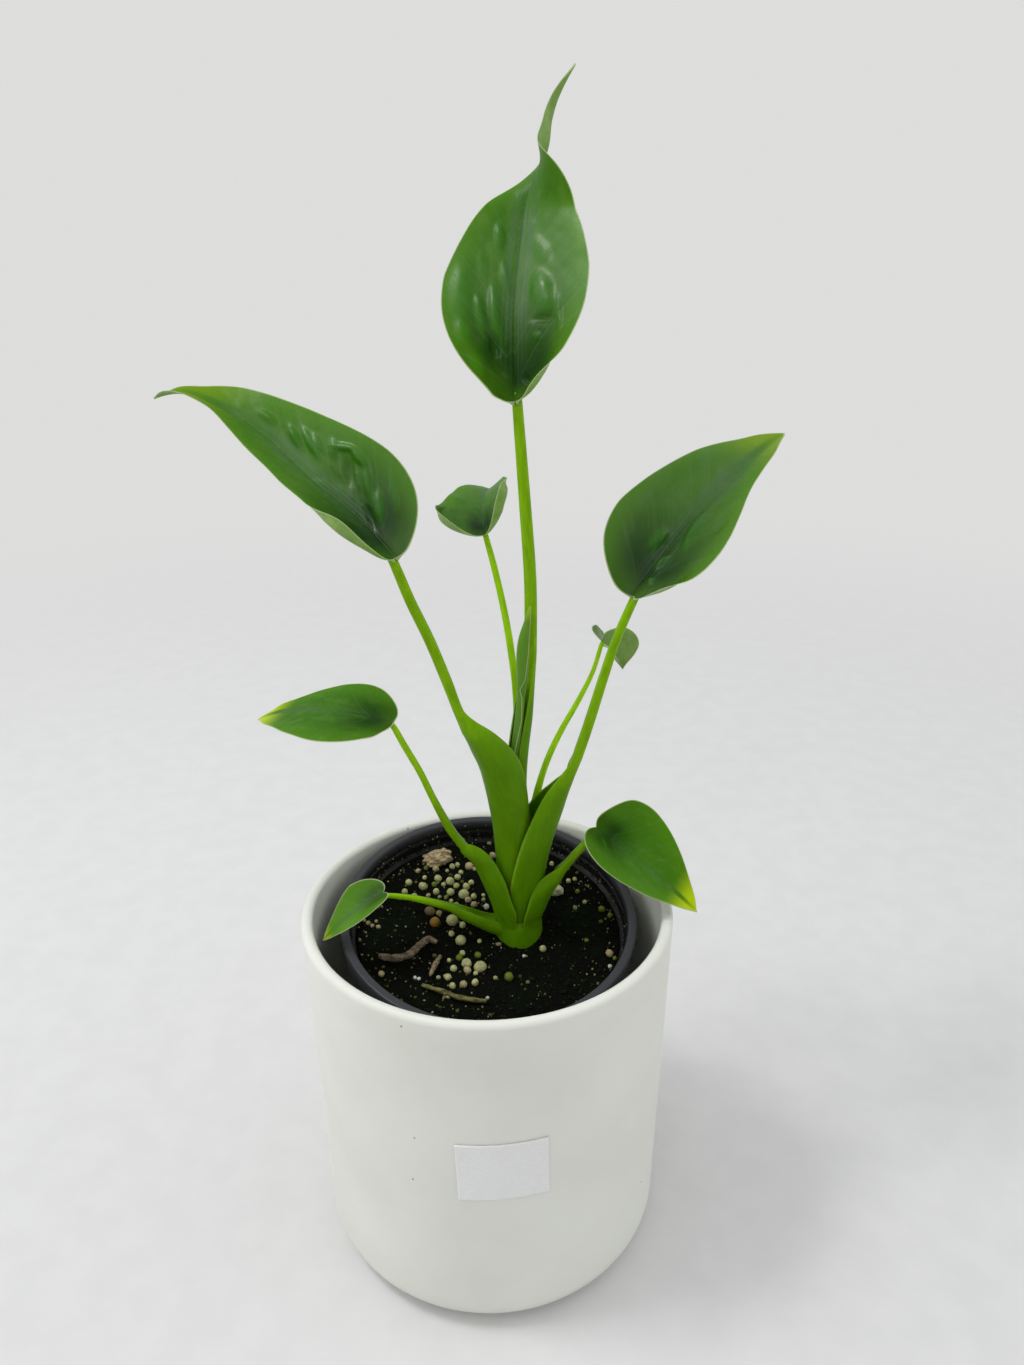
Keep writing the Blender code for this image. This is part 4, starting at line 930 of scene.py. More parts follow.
# %% Stalk rows
SHEATH_WALL = 0.95
RUN_UNIT = 100.0  # mm for one unit of the UV map
INNER_SHIFT = 40.0  # mm that part the streaks inside a sheath from those outside
LARGE_FROM = 80.0  # length in mm from which a blade counts as large
MIDRIB_AT = np.array([0.0, 0.03, 0.08, 0.15, 0.24])
MIDRIB_SIZE = np.array([0.95, 0.75, 0.5, 0.3, 0.15])
STALKS = {
    "left_tall": (185, (
        (11.2, 8, 126.3, 5.6, 155, 150, 0), (10.8, 8, 138, 6.2, 152, 145, 0),
        (10.5, 8, 149, 7, 149, 140, 0), (9.6, 8, 166, 7.4, 144, 128, 0),
        (7, 8, 186, 8.4, 141, 104, 0), (3.9, 8, 195, 8.6, 140, 86, 0),
        (0.2, 8, 201, 7.2, 134, 68, 0.1), (-4.9, 8, 205.5, 3.9, 130, 74, 0.55),
        (-8.5, 8, 210.6, 2.2, 127, 118, 0.92), (-12, 8.2, 220.7, 2.05, 128, 128, 1),
        (-17.3, 9, 235.2, 2, 130, 130, 1), (-23.2, 9.5, 249, 1.9, 132, 132, 1),
        (-28.2, 10, 262.7, 1.75, 135, 135, 1))),
    "right_tall": (0, (
        (11.3, 8, 126.3, 7.2, 136, 140, 0), (11.8, 8, 136, 8.3, 122, 122, 0),
        (12.4, 8, 145, 9, 118, 115, 0), (13.6, 8, 153, 9.2, 114, 112, 0),
        (16.2, 8, 162, 8.8, 114, 113, 0), (20, 8, 171, 7.7, 112, 117, 0),
        (24, 8, 179, 5.9, 84, 121, 0.1), (28, 8.4, 184.5, 3.8, 76, 120, 0.45),
        (31.5, 9, 189.2, 2.3, 118, 125, 0.9), (33.4, 9.5, 194, 2.1, 128, 128, 1),
        (36.6, 10, 204.4, 2, 130, 130, 1), (40.8, 11, 219, 1.85, 131, 131, 1),
        (45.2, 12, 233.2, 1.7, 132, 132, 1), (49.5, 12, 247.7, 1.6, 135, 135, 1))),
    "top": (60, (
        (11.2, 8.2, 126.3, 3.7, 150, 150, 0), (10.9, 8.6, 150, 3.9, 150, 150, 0),
        (10.7, 8.8, 170, 3.9, 150, 150, 0), (11, 9.2, 184, 3.8, 150, 150, 0),
        (11.9, 10, 194, 3.65, 148, 148, 0), (13.4, 11.2, 205, 3.5, 142, 142, 0),
        (14.6, 12.8, 214, 3, 130, 130, 0.3), (15.8, 14.6, 222, 2.4, 126, 126, 0.9),
        (16.4, 15, 231, 2.2, 128, 128, 1), (16.4, 16, 253.4, 2.1, 130, 130, 1),
        (14.7, 17, 280.2, 1.95, 132, 132, 1), (11.7, 18, 310.5, 1.75, 135, 135, 1))),
    "left_low": (185, (
        (11.2, 8, 126.3, 8.6, 78, 66, 0), (10.6, 8, 132, 9.3, 84, 66, 0),
        (8.4, 8, 138.5, 9.2, 86, 62, 0), (5.2, 8, 145, 8.4, 96, 62, 0),
        (0.9, 7.5, 151, 6.4, 112, 62, 0.1), (-3.2, 6.8, 155, 5, 130, 62, 0.3),
        (-6.2, 6.3, 157.3, 3.6, 134, 74, 0.6), (-9, 5.6, 159.6, 2, 124, 115, 0.95),
        (-12.9, 4.4, 166.3, 1.75, 128, 128, 1),
        (-17.8, 2.2, 178.7, 1.4, 130, 130, 1), (-22.1, 1, 190.3, 1.25, 132, 132, 1),
        (-27, 0.2, 201, 1.2, 134, 134, 1), (-30.6, 0, 208.7, 1.1, 135, 135, 1))),
    "right_low": (345, (
        (11.5, 8, 126.3, 8.6, 62, 66, 0), (12.7, 7.9, 130, 8.9, 62, 72, 0),
        (14.4, 7.6, 134, 8.6, 62, 76, 0), (17.6, 7, 139.4, 7.6, 62, 90, 0.05),
        (21.8, 5.8, 144, 5.4, 70, 112, 0.35), (27, 4.4, 148.4, 2.4, 108, 122, 0.9),
        (31.8, 3.8, 154.4, 1.65, 128, 128, 1), (35.7, 4.6, 158.6, 1.45, 132, 132, 1),
        (38.5, 5.7, 162.1, 1.3, 135, 135, 1))),
    "left_front": (200, (
        (7.5, 7.2, 121, 4.8, 120, 120, 1), (4.2, 6.4, 123.4, 4.4, 122, 120, 0.8),
        (1.2, 5.5, 124.9, 4.1, 124, 116, 0.6),
        (-2.6, 4.4, 127.4, 3.9, 126, 112, 0.4), (-6.6, 3, 130.4, 3.4, 124, 112, 0.5),
        (-10.6, 2, 133.2, 2.5, 122, 116, 0.75), (-14.1, 1, 135.3, 1.7, 124, 124, 1),
        (-20.7, -0.4, 138.5, 1.4, 130, 130, 1), (-27.6, -3, 142.2, 1.1, 132, 132, 1),
        (-35.6, -5.8, 145.7, 0.95, 135, 135, 1))),
    "mid_back": (100, (
        (10.7, 17.7, 126.3, 1.7, 130, 130, 1), (10.4, 19.3, 140, 1.8, 130, 130, 1),
        (10.4, 20.8, 156, 1.7, 130, 130, 1), (11.4, 22, 175, 1.5, 130, 130, 1),
        (12, 24.5, 195, 1.35, 130, 130, 1), (11.7, 28, 209, 1.3, 132, 132, 1),
        (10.3, 35, 221.3, 1.3, 132, 132, 1), (8.2, 45, 233.1, 1.25, 134, 134, 1),
        (5.2, 54, 245.7, 1.2, 135, 135, 1), (2, 57.7, 257.5, 1.1, 135, 135, 1))),
    "right_back": (60, (
        (14.7, 17.7, 126.3, 1.7, 130, 130, 1), (15, 19.3, 140, 1.8, 130, 130, 1),
        (16.4, 20.8, 155, 1.7, 130, 130, 1), (18.6, 23, 166, 1.5, 130, 130, 1),
        (20.9, 26, 173.8, 1.25, 130, 130, 1), (24.3, 33, 179.5, 1.2, 132, 132, 1),
        (29.7, 42, 186, 1.15, 132, 132, 1), (36.8, 52, 193.4, 1.05, 134, 134, 1),
        (43.2, 62, 201.1, 0.9, 135, 135, 1), (47.3, 69.2, 210.4, 0.9, 135, 135, 1))),
}
# Rows below the first one, which let a sheath sink into the crown
SUNK = {"left_low": ((11.3, 9, 116, 7.2, 78, 66, 0), (11.3, 8.4, 121.5, 8.5, 78, 66, 0)),
        "right_low": ((11.3, 9, 116, 7.2, 62, 66, 0), (11.3, 8.4, 121.5, 8.5, 62, 66, 0))}
CROWN_MIDDLE = (11.3, 9.6)
CROWN_REACH = 9.0
CROWN_ROWS = ((98.0, 3.6, 4.0), (101.0, 6.0, 7.0), (107.0, 8.0, 9.4), (113.0, 8.9, 10.4),
              (118.0, 9.1, 10.8), (122.5, 8.9, 10.5), (126.0, 8.2, 9.8), (128.3, 5.6, 7.4),
              (129.0, 2.0, 3.0))
print("stalks:", len(STALKS))

# %% [markdown]
# The blades are described first, because a stalk ends in the midrib of its blade. Half a blade's
# edge is two Bezier curves, from the notch at the base to the widest place and on to the tip.
# The midrib is a path that droops, swings aside and twists, and the flat blade is bent round it.

# %% Blade shapes
BLADES = {
    "left_tall": dict(base=(-27.7, 10.0, 263.5), length=107.2, width=43.6, yaw=137.5,
                      pitch=36.8, roll=-19.4, droop=6.5, sickle=36.7, twist=31.7, fold=25.0,
                      cup=30.2, lobe=0.03, wide=0.237, belly=0.091, tip=(0.939, 0.347),
                      lean=-0.05, dip=((0, 0), (0.92, 0), (1, 23)),
                      swing=((0, 0), (0.3, 7.2), (0.5, -8.4), (0.7, -2.3), (0.85, -3.6),
                             (1, 57))),
    "right_tall": dict(base=(50.5, 12.0, 248.4), length=110.25, width=42.4, yaw=42.2,
                       pitch=35.0, roll=21.9, droop=33.2, sickle=0.4, twist=-19.7, fold=24.9,
                       cup=5.0, lobe=0.038, wide=0.219, belly=0.099, tip=(0.908, 0.245),
                       lean=0.11),
    "top": dict(base=(11.8, 18.0, 311.4), length=112.8, width=49.7, yaw=87.5, pitch=56.8,
                roll=-16.7, droop=-10.8, sickle=-28.2, twist=-84.8, turn=(0.563, 0.214),
                fold=15.0, cup=4.0, lobe=0.03, wide=0.36, belly=0.14, tip=(0.779, 0.282),
                lean=0.016, swing=((0, 0), (0.2, 2), (0.4, -1.2), (0.55, 4.3), (0.65, -11.3),
                                   (0.72, -10.7), (0.8, 16.7), (0.88, -2.3), (1, -12.5))),
    "left_low": dict(base=(-30.3, 0.0, 209.8), length=59.6, width=33.8, yaw=162.7, pitch=8.4,
                     roll=-13.0, droop=46.6, sickle=-12.8, twist=0.0, fold=4.0, cup=0.2,
                     lobe=0.031, wide=0.294, belly=0.181, tip=(0.815, 0.195), lean=0.1),
    "right_low": dict(base=(39.5, 6.0, 163.7), length=46.5, width=34.2, yaw=-32.6,
                      pitch=-25.7, roll=22.6, droop=23.6, sickle=6.0, twist=-8.4, fold=15.0,
                      cup=22.4, lobe=0.088, wide=0.27, belly=0.139, tip=(0.863, 0.282),
                      lean=0.054),
    "left_front": dict(base=(-36.7, -6.0, 146.4), length=28.4, width=18.3, yaw=194.6,
                       pitch=-27.1, roll=-15.1, droop=27.3, sickle=-4.6, twist=2.9, fold=14.8,
                       cup=23.6, lobe=0.135, wide=0.326, belly=0.074, tip=(0.922, 0.212),
                       lean=0.0),
    "mid_back": dict(base=(1.6, 58.0, 258.0), length=40.6, width=36.4, yaw=95.2, pitch=35.5,
                     roll=-23.3, droop=58.6, sickle=-2.9, twist=17.3, fold=32.8, cup=4.0,
                     lobe=0.099, wide=0.219, belly=0.078, tip=(0.921, 0.207), lean=0.0),
    "right_back": dict(base=(47.7, 70.0, 210.8), length=19.5, width=23.1, yaw=40.0,
                       pitch=-38.4, roll=-11.6, droop=30.7, sickle=1.8, twist=-13.0, fold=30.0,
                       cup=40.0, lobe=0.326, wide=0.382, belly=0.343, tip=(0.78, 0.266),
                       lean=0.0),
}
EDGE_AT = 0.45
MIDRIB_SPAN = (-0.35, 1.0, 271)  # first and last share of the length, and number of points
BEND_STEPS = 24
TWIST_ZONE = (0.5, 0.6)
CURL_REACH = 0.14
PLAIN = ((0.0, 1.0), (1.0, 1.0))
FLAT = ((0.0, 0.0), (1.0, 0.0))


print("blades:", len(BLADES))

# %% Outline and midrib


def bezier(handles, t):
    """(1-t)^3 a + 3t(1-t)^2 b + 3t^2(1-t) c + t^3 d."""
    a, b, c, d = (np.asarray(h, float) for h in handles)
    t = t[:, None]
    return (1 - t) ** 3 * a + 3 * t * (1 - t) ** 2 * b + 3 * t ** 2 * (1 - t) * c + t ** 3 * d


def blade_outline(q, shape):
    """Edge of half a blade, as shares of its length and half width, for q from notch to tip."""
    wide, lobe = shape["wide"], shape["lobe"]
    first = bezier(((0, 0), (-lobe * 1.33, 0.28), (wide - 0.62 * (wide + lobe), 1), (wide, 1)),
                   np.clip(q / EDGE_AT, 0, 1))
    second = bezier(((wide, 1), (wide + shape["belly"], 1), shape["tip"], (1, 0)),
                    np.clip((q - EDGE_AT) / (1 - EDGE_AT), 0, 1))
    return np.where((q < EDGE_AT)[:, None], first, second)


def along_edge(table, q):
    """Values between knots (q, value), joined by straight lines and then smoothed."""
    places, values = np.array(table, float).T
    pad = 6
    steps = np.interp(q, places, values)
    return np.convolve(np.pad(steps, pad, "edge"), np.ones(2 * pad + 1) / (2 * pad + 1), "valid")


def midrib(shape):
    """Path, side and normal along the midrib: droop turns it down, sickle aside, twist round."""
    share = np.linspace(*MIDRIB_SPAN)
    ahead = np.clip(share, 0, 1)[:, None]
    yaw, pitch, roll = (math.radians(shape[key]) for key in ("yaw", "pitch", "roll"))
    run = np.array([math.cos(pitch) * math.cos(yaw), math.cos(pitch) * math.sin(yaw),
                    math.sin(pitch)])
    flat = np.array([-math.sin(yaw), math.cos(yaw), 0.0])
    side = flat * math.cos(roll) + np.cross(run, flat) * math.sin(roll)
    up = np.cross(run, side)
    droop = math.radians(shape["droop"]) * ahead ** 1.3
    sickle = math.radians(shape["sickle"]) * ahead ** 1.5
    dip, swing = (np.radians(along_edge(shape.get(key, FLAT), share))[:, None]
                  for key in ("dip", "swing"))
    droop = droop + dip
    start, reach = shape.get("turn", TWIST_ZONE)
    twist = math.radians(shape["twist"]) * ease(ahead, start, start + reach)
    bent = run * np.cos(droop) - up * np.sin(droop)
    normal = up * np.cos(droop) + run * np.sin(droop)
    path = bent * np.cos(sickle + swing) + side * np.sin(sickle + swing)
    level = side * np.cos(sickle) - bent * np.sin(sickle)
    sides = level * np.cos(twist) + normal * np.sin(twist)
    normals = normal * np.cos(twist) - level * np.sin(twist)
    step = (share[1] - share[0]) * shape["length"]
    points = np.vstack([np.zeros(3), np.cumsum((path[1:] + path[:-1]) / 2 * step, axis=0)])
    points += np.array(shape["base"]) - points[np.argmin(np.abs(share))]
    return share, points, sides, normals


def on_midrib(shape, share_at):
    """Point, side and normal at any share of the length, between the two nearest of the path."""
    share, *tables = midrib(shape)
    place = np.clip((share_at - share[0]) / (share[1] - share[0]), 0, len(share) - 1.001)
    index = place.astype(int)
    weight = (place - index)[..., None]
    return [table[index] * (1 - weight) + table[index + 1] * weight for table in tables]


def bend_blade(shape, along, across, share, curl, curl_from):
    """Go out from the midrib at an angle that grows with the way gone: fold at the start, cup
    times the way, and near the margin the curl. Out is the mean cosine, rise the mean sine."""
    ahead = np.clip(along / shape["length"], 0, 1)[..., None]
    middle, side, normal = on_midrib(shape, along / shape["length"])
    gone = ((np.arange(BEND_STEPS) + 0.5) / BEND_STEPS)[None, None]
    way = np.abs(across)[..., None] * gone
    bow = math.radians(shape["cup"]) / (shape["width"] / 2) * (1 - 0.35 * ahead)
    angle = math.radians(shape["fold"]) * (1 - 0.3 * ahead) + bow * way
    angle = angle + curl[..., None] * ease(np.abs(share)[..., None] * gone, curl_from,
                                           curl_from + CURL_REACH)
    out = across * np.cos(angle).mean(axis=-1)
    rise = np.abs(across) * np.sin(angle).mean(axis=-1)
    return middle + side * out[..., None] + normal * rise[..., None]


print("the top leaf's midrib ends at", np.round(midrib(BLADES["top"])[1][-1], 1).tolist(), "mm")

# %% Stalk colours


def stalk_finish():
    """Yellow-green stalks, darker towards the foot, with sheaths in a darker green that is
    painted shade; lengthwise streaks and pale thin margins.
    """
    made, tree, shader = new_finish("stalk_green", Specular_IOR_Level=0.14, Roughness=0.42,
                                    Subsurface_Weight=0.25, Subsurface_Scale=0.0012,
                                    Subsurface_Radius=(0.9, 1.6, 0.25))
    shader.inputs["Specular Tint"].default_value = (0.75, 1.0, 0.45, 1.0)
    height = add_node(tree, "SeparateXYZ", {0: object_place(tree)}).outputs[2]
    run = add_node(tree, "UVMap", {}, uv_map="run").outputs[0]
    streak = noise(tree, stretched(tree, run, (260.0, 9.0, 1.0)), 1.0, 3.0)
    patch = noise(tree, stretched(tree, run, (30.0, 12.0, 1.0)), 1.0, 3.0)
    opened = field(tree, "open")
    stem = mixed(tree, remap(tree, height, 0.14, 0.21), (0.135, 0.31, 0.001), (0.20, 0.42, 0.001))
    stem = mixed(tree, field(tree, "thin"), stem, (0.30, 0.58, 0.002))
    # Painted shade: the sheaths and their streaks get a darker green than the stalks, as they face
    # down and take less light.
    sheath = mixed(tree, remap(tree, height, 0.122, 0.17), (0.105, 0.270, 0.001),
                   (0.095, 0.235, 0.001))
    tone = mixed(tree, opened, stem, sheath)
    light = remap(tree, streak, 0.3, 0.75, 0.0, 0.35)
    tone = mixed(tree, light, tone, mixed(tree, opened, (0.28, 0.48, 0.006), (0.13, 0.30, 0.003)))
    tone = mixed(tree, remap(tree, patch, 0.35, 0.7, 0.0, 0.3), tone, (0.05, 0.14, 0.002))
    tone = mixed(tree, field(tree, "pale"), tone, (0.22, 0.40, 0.02))
    paint(tree, shader, "Base Color", tone)
    bumped(tree, shader, streak, 0.00010)
    return made


STALK_GREEN = stalk_finish()
print("nodes in the stalk's finish:", len(STALK_GREEN.node_tree.nodes))

# %% Crown and stalks


def stalk_surface(keel_degrees, rows, per_span=8, wide=33):
    """Outer arc round the keel, then back along the inner side: an arc one wall in on a sheath,
    a slightly swollen chord on a stalk. Sheath rings lie level, stalk rings square to the run."""
    table = smooth_rows(rows, per_span)
    middle, radius = table[:, :3], table[:, 3:4]
    ahead, behind = np.radians(table[:, 4:5]), np.radians(table[:, 5:6])
    solid = np.clip(table[:, 6:7], 0.0, 1.0)
    tangent = unit(unit(np.gradient(middle, axis=0)) * solid + np.array([0, 0, 1.0]) * (1 - solid))
    keel = math.radians(keel_degrees)
    outward = unit(np.cross([-math.sin(keel), math.cos(keel), 0.0], tangent))
    across = np.cross(tangent, outward)
    sweep = np.linspace(0.0, 1.0, wide)[None, :]
    angle = sweep * (ahead + behind) - behind
    spoke = (np.cos(angle)[..., None] * outward[:, None]
             + np.sin(angle)[..., None] * across[:, None])
    outer = radius[..., None] * spoke
    edge = 2 * sweep - 1
    thin = radius - SHEATH_WALL * (1.25 - 0.98 * edge ** 2)
    first, last = outer[:, :1], outer[:, -1:]
    chord = first + (last - first) * sweep[..., None]
    chord = chord + 0.25 * ((1 - edge ** 2)[..., None]) * 0.5 * (first + last)
    inner = thin[..., None] * spoke * (1 - solid[..., None]) + chord * solid[..., None]
    rings = middle[:, None] + np.concatenate([outer, inner[:, -2:0:-1]], axis=1)
    reach = (1 - np.abs(edge)) * radius * (ahead + behind) / 2
    pale = (1 - ease(reach, 0.15, 0.75)) * (1 - solid) * 0.7
    run = np.concatenate([[0.0], np.cumsum(np.linalg.norm(np.diff(middle, axis=0), axis=1))])
    turned_at = angle * np.maximum(radius, 1.0)
    back = slice(-2, 0, -1)
    count, around = len(table), 2 * wide - 2
    fields = {"open": np.repeat(1 - solid, around, axis=1),
              "pale": np.concatenate([pale, pale[:, back]], axis=1),
              "thin": np.repeat(1 - ease(radius, 1.15, 1.7), around, axis=1)}
    u = np.concatenate([turned_at, turned_at[:, back] + INNER_SHIFT], axis=1)
    uv = np.stack([u, np.repeat(run[:, None], around, axis=1)], -1).reshape(-1, 2) / RUN_UNIT
    caps = cap_strip(wide)
    end_caps = [cap + (count - 1) * around for cap in caps]
    faces = [grid_quads(count, around, wrap=True), *caps, *end_caps]
    return rings.reshape(-1, 3), faces, fields, uv


def cap_strip(wide):
    """Close a ring's end: quads between its outer and inner side, a triangle at each margin."""
    around = 2 * wide - 2
    k = np.arange(1, wide - 2)
    quads = np.stack([k, k + 1, around - k - 1, around - k], -1)
    ends = np.array([[0, 1, around - 1], [wide - 2, wide - 1, wide]])
    return quads, ends


def rows_into_blade(name):
    """Rows after a stalk's last one, which run on under the blade and thin out in its midrib."""
    shape = BLADES[name]
    last = STALKS[name][1][-1]
    at = MIDRIB_AT * (1.0 if shape["length"] > LARGE_FROM else 1.2)
    points, _, normals = on_midrib(shape, at)
    radius = last[3] * MIDRIB_SIZE
    middle = points - normals * (radius * 1.2 + 0.55)[:, None]
    return [(*place, size, 135, 135, 1.0) for place, size in zip(middle, radius)]


def make_stalk(name, finish):
    """Sheath and stalk in one piece, from the crown to the midrib."""
    keel, rows = STALKS[name]
    rows = list(SUNK.get(name, ())) + list(rows[:-1]) + rows_into_blade(name)
    points, faces, fields, uv = stalk_surface(keel, rows)
    return lay_piece(name + "_stalk", points, faces, finish, ("stalk_" + name,),
                     fields, uv)


def make_crown(finish):
    """Level ellipses that swell and close in a dome, hidden between the sheaths."""
    table = smooth_rows(CROWN_ROWS, 8)
    steps = 96
    angle = np.linspace(0.0, 2 * math.pi, steps, endpoint=False)[None, :]
    rings = np.stack([CROWN_MIDDLE[0] + table[:, 1:2] * np.cos(angle),
                      CROWN_MIDDLE[1] + table[:, 2:3] * np.sin(angle),
                      table[:, :1] + 0 * angle], -1).reshape(-1, 3)
    poles = np.array([[*CROWN_MIDDLE, CROWN_ROWS[0][0]], [*CROWN_MIDDLE, CROWN_ROWS[-1][0]]])
    points = np.vstack([rings, poles])
    x, y = points[:, 0] - CROWN_MIDDLE[0], points[:, 1] - CROWN_MIDDLE[1]
    uv = np.stack([np.arctan2(y, x) * CROWN_REACH, points[:, 2]], -1) / RUN_UNIT
    plain = np.zeros(len(points))
    # Open set to 1 gives the crown the sheath's darker green, which is painted shade.
    fields = {"open": plain + 1, "pale": plain, "thin": plain}
    return lay_piece("swollen_crown", points, capped_faces(len(table), steps), finish,
                     ("crown",), fields, uv)


make_crown(STALK_GREEN)
for stalk in STALKS:
    make_stalk(stalk, STALK_GREEN)

# %% [markdown]
# A blade is glossy, leathery and puckered. Its side veins leave the midrib almost along it and
# then swing out, so a number called the phase is worked out for every point: it stays the same
# along one vein. Fine lines, quilting and grooves all follow from it. Single blisters are placed
# one by one, and the midrib is a shallow groove above and a round rib below.

# %% Blade looks
# left and right widen or narrow each half between q = 0 at the notch and 1 at the tip, as pairs
# of place and factor or as factors at the shared places. The curls turn each margin up by
# degrees. A blister is mm along, mm to the left, length, width, degrees of turn and height.
WIDTH_PLACES = (0, 0.04, 0.08, 0.12, 0.16, 0.2, 0.24, 0.28, 0.32, 0.36, 0.42, 0.5, 0.58, 0.64, 0.68,
                0.72, 0.76, 0.82, 0.88, 0.94, 1)


def widths(*factors):
    """Pair the factors with the shared places."""
    return tuple(zip(WIDTH_PLACES, factors))


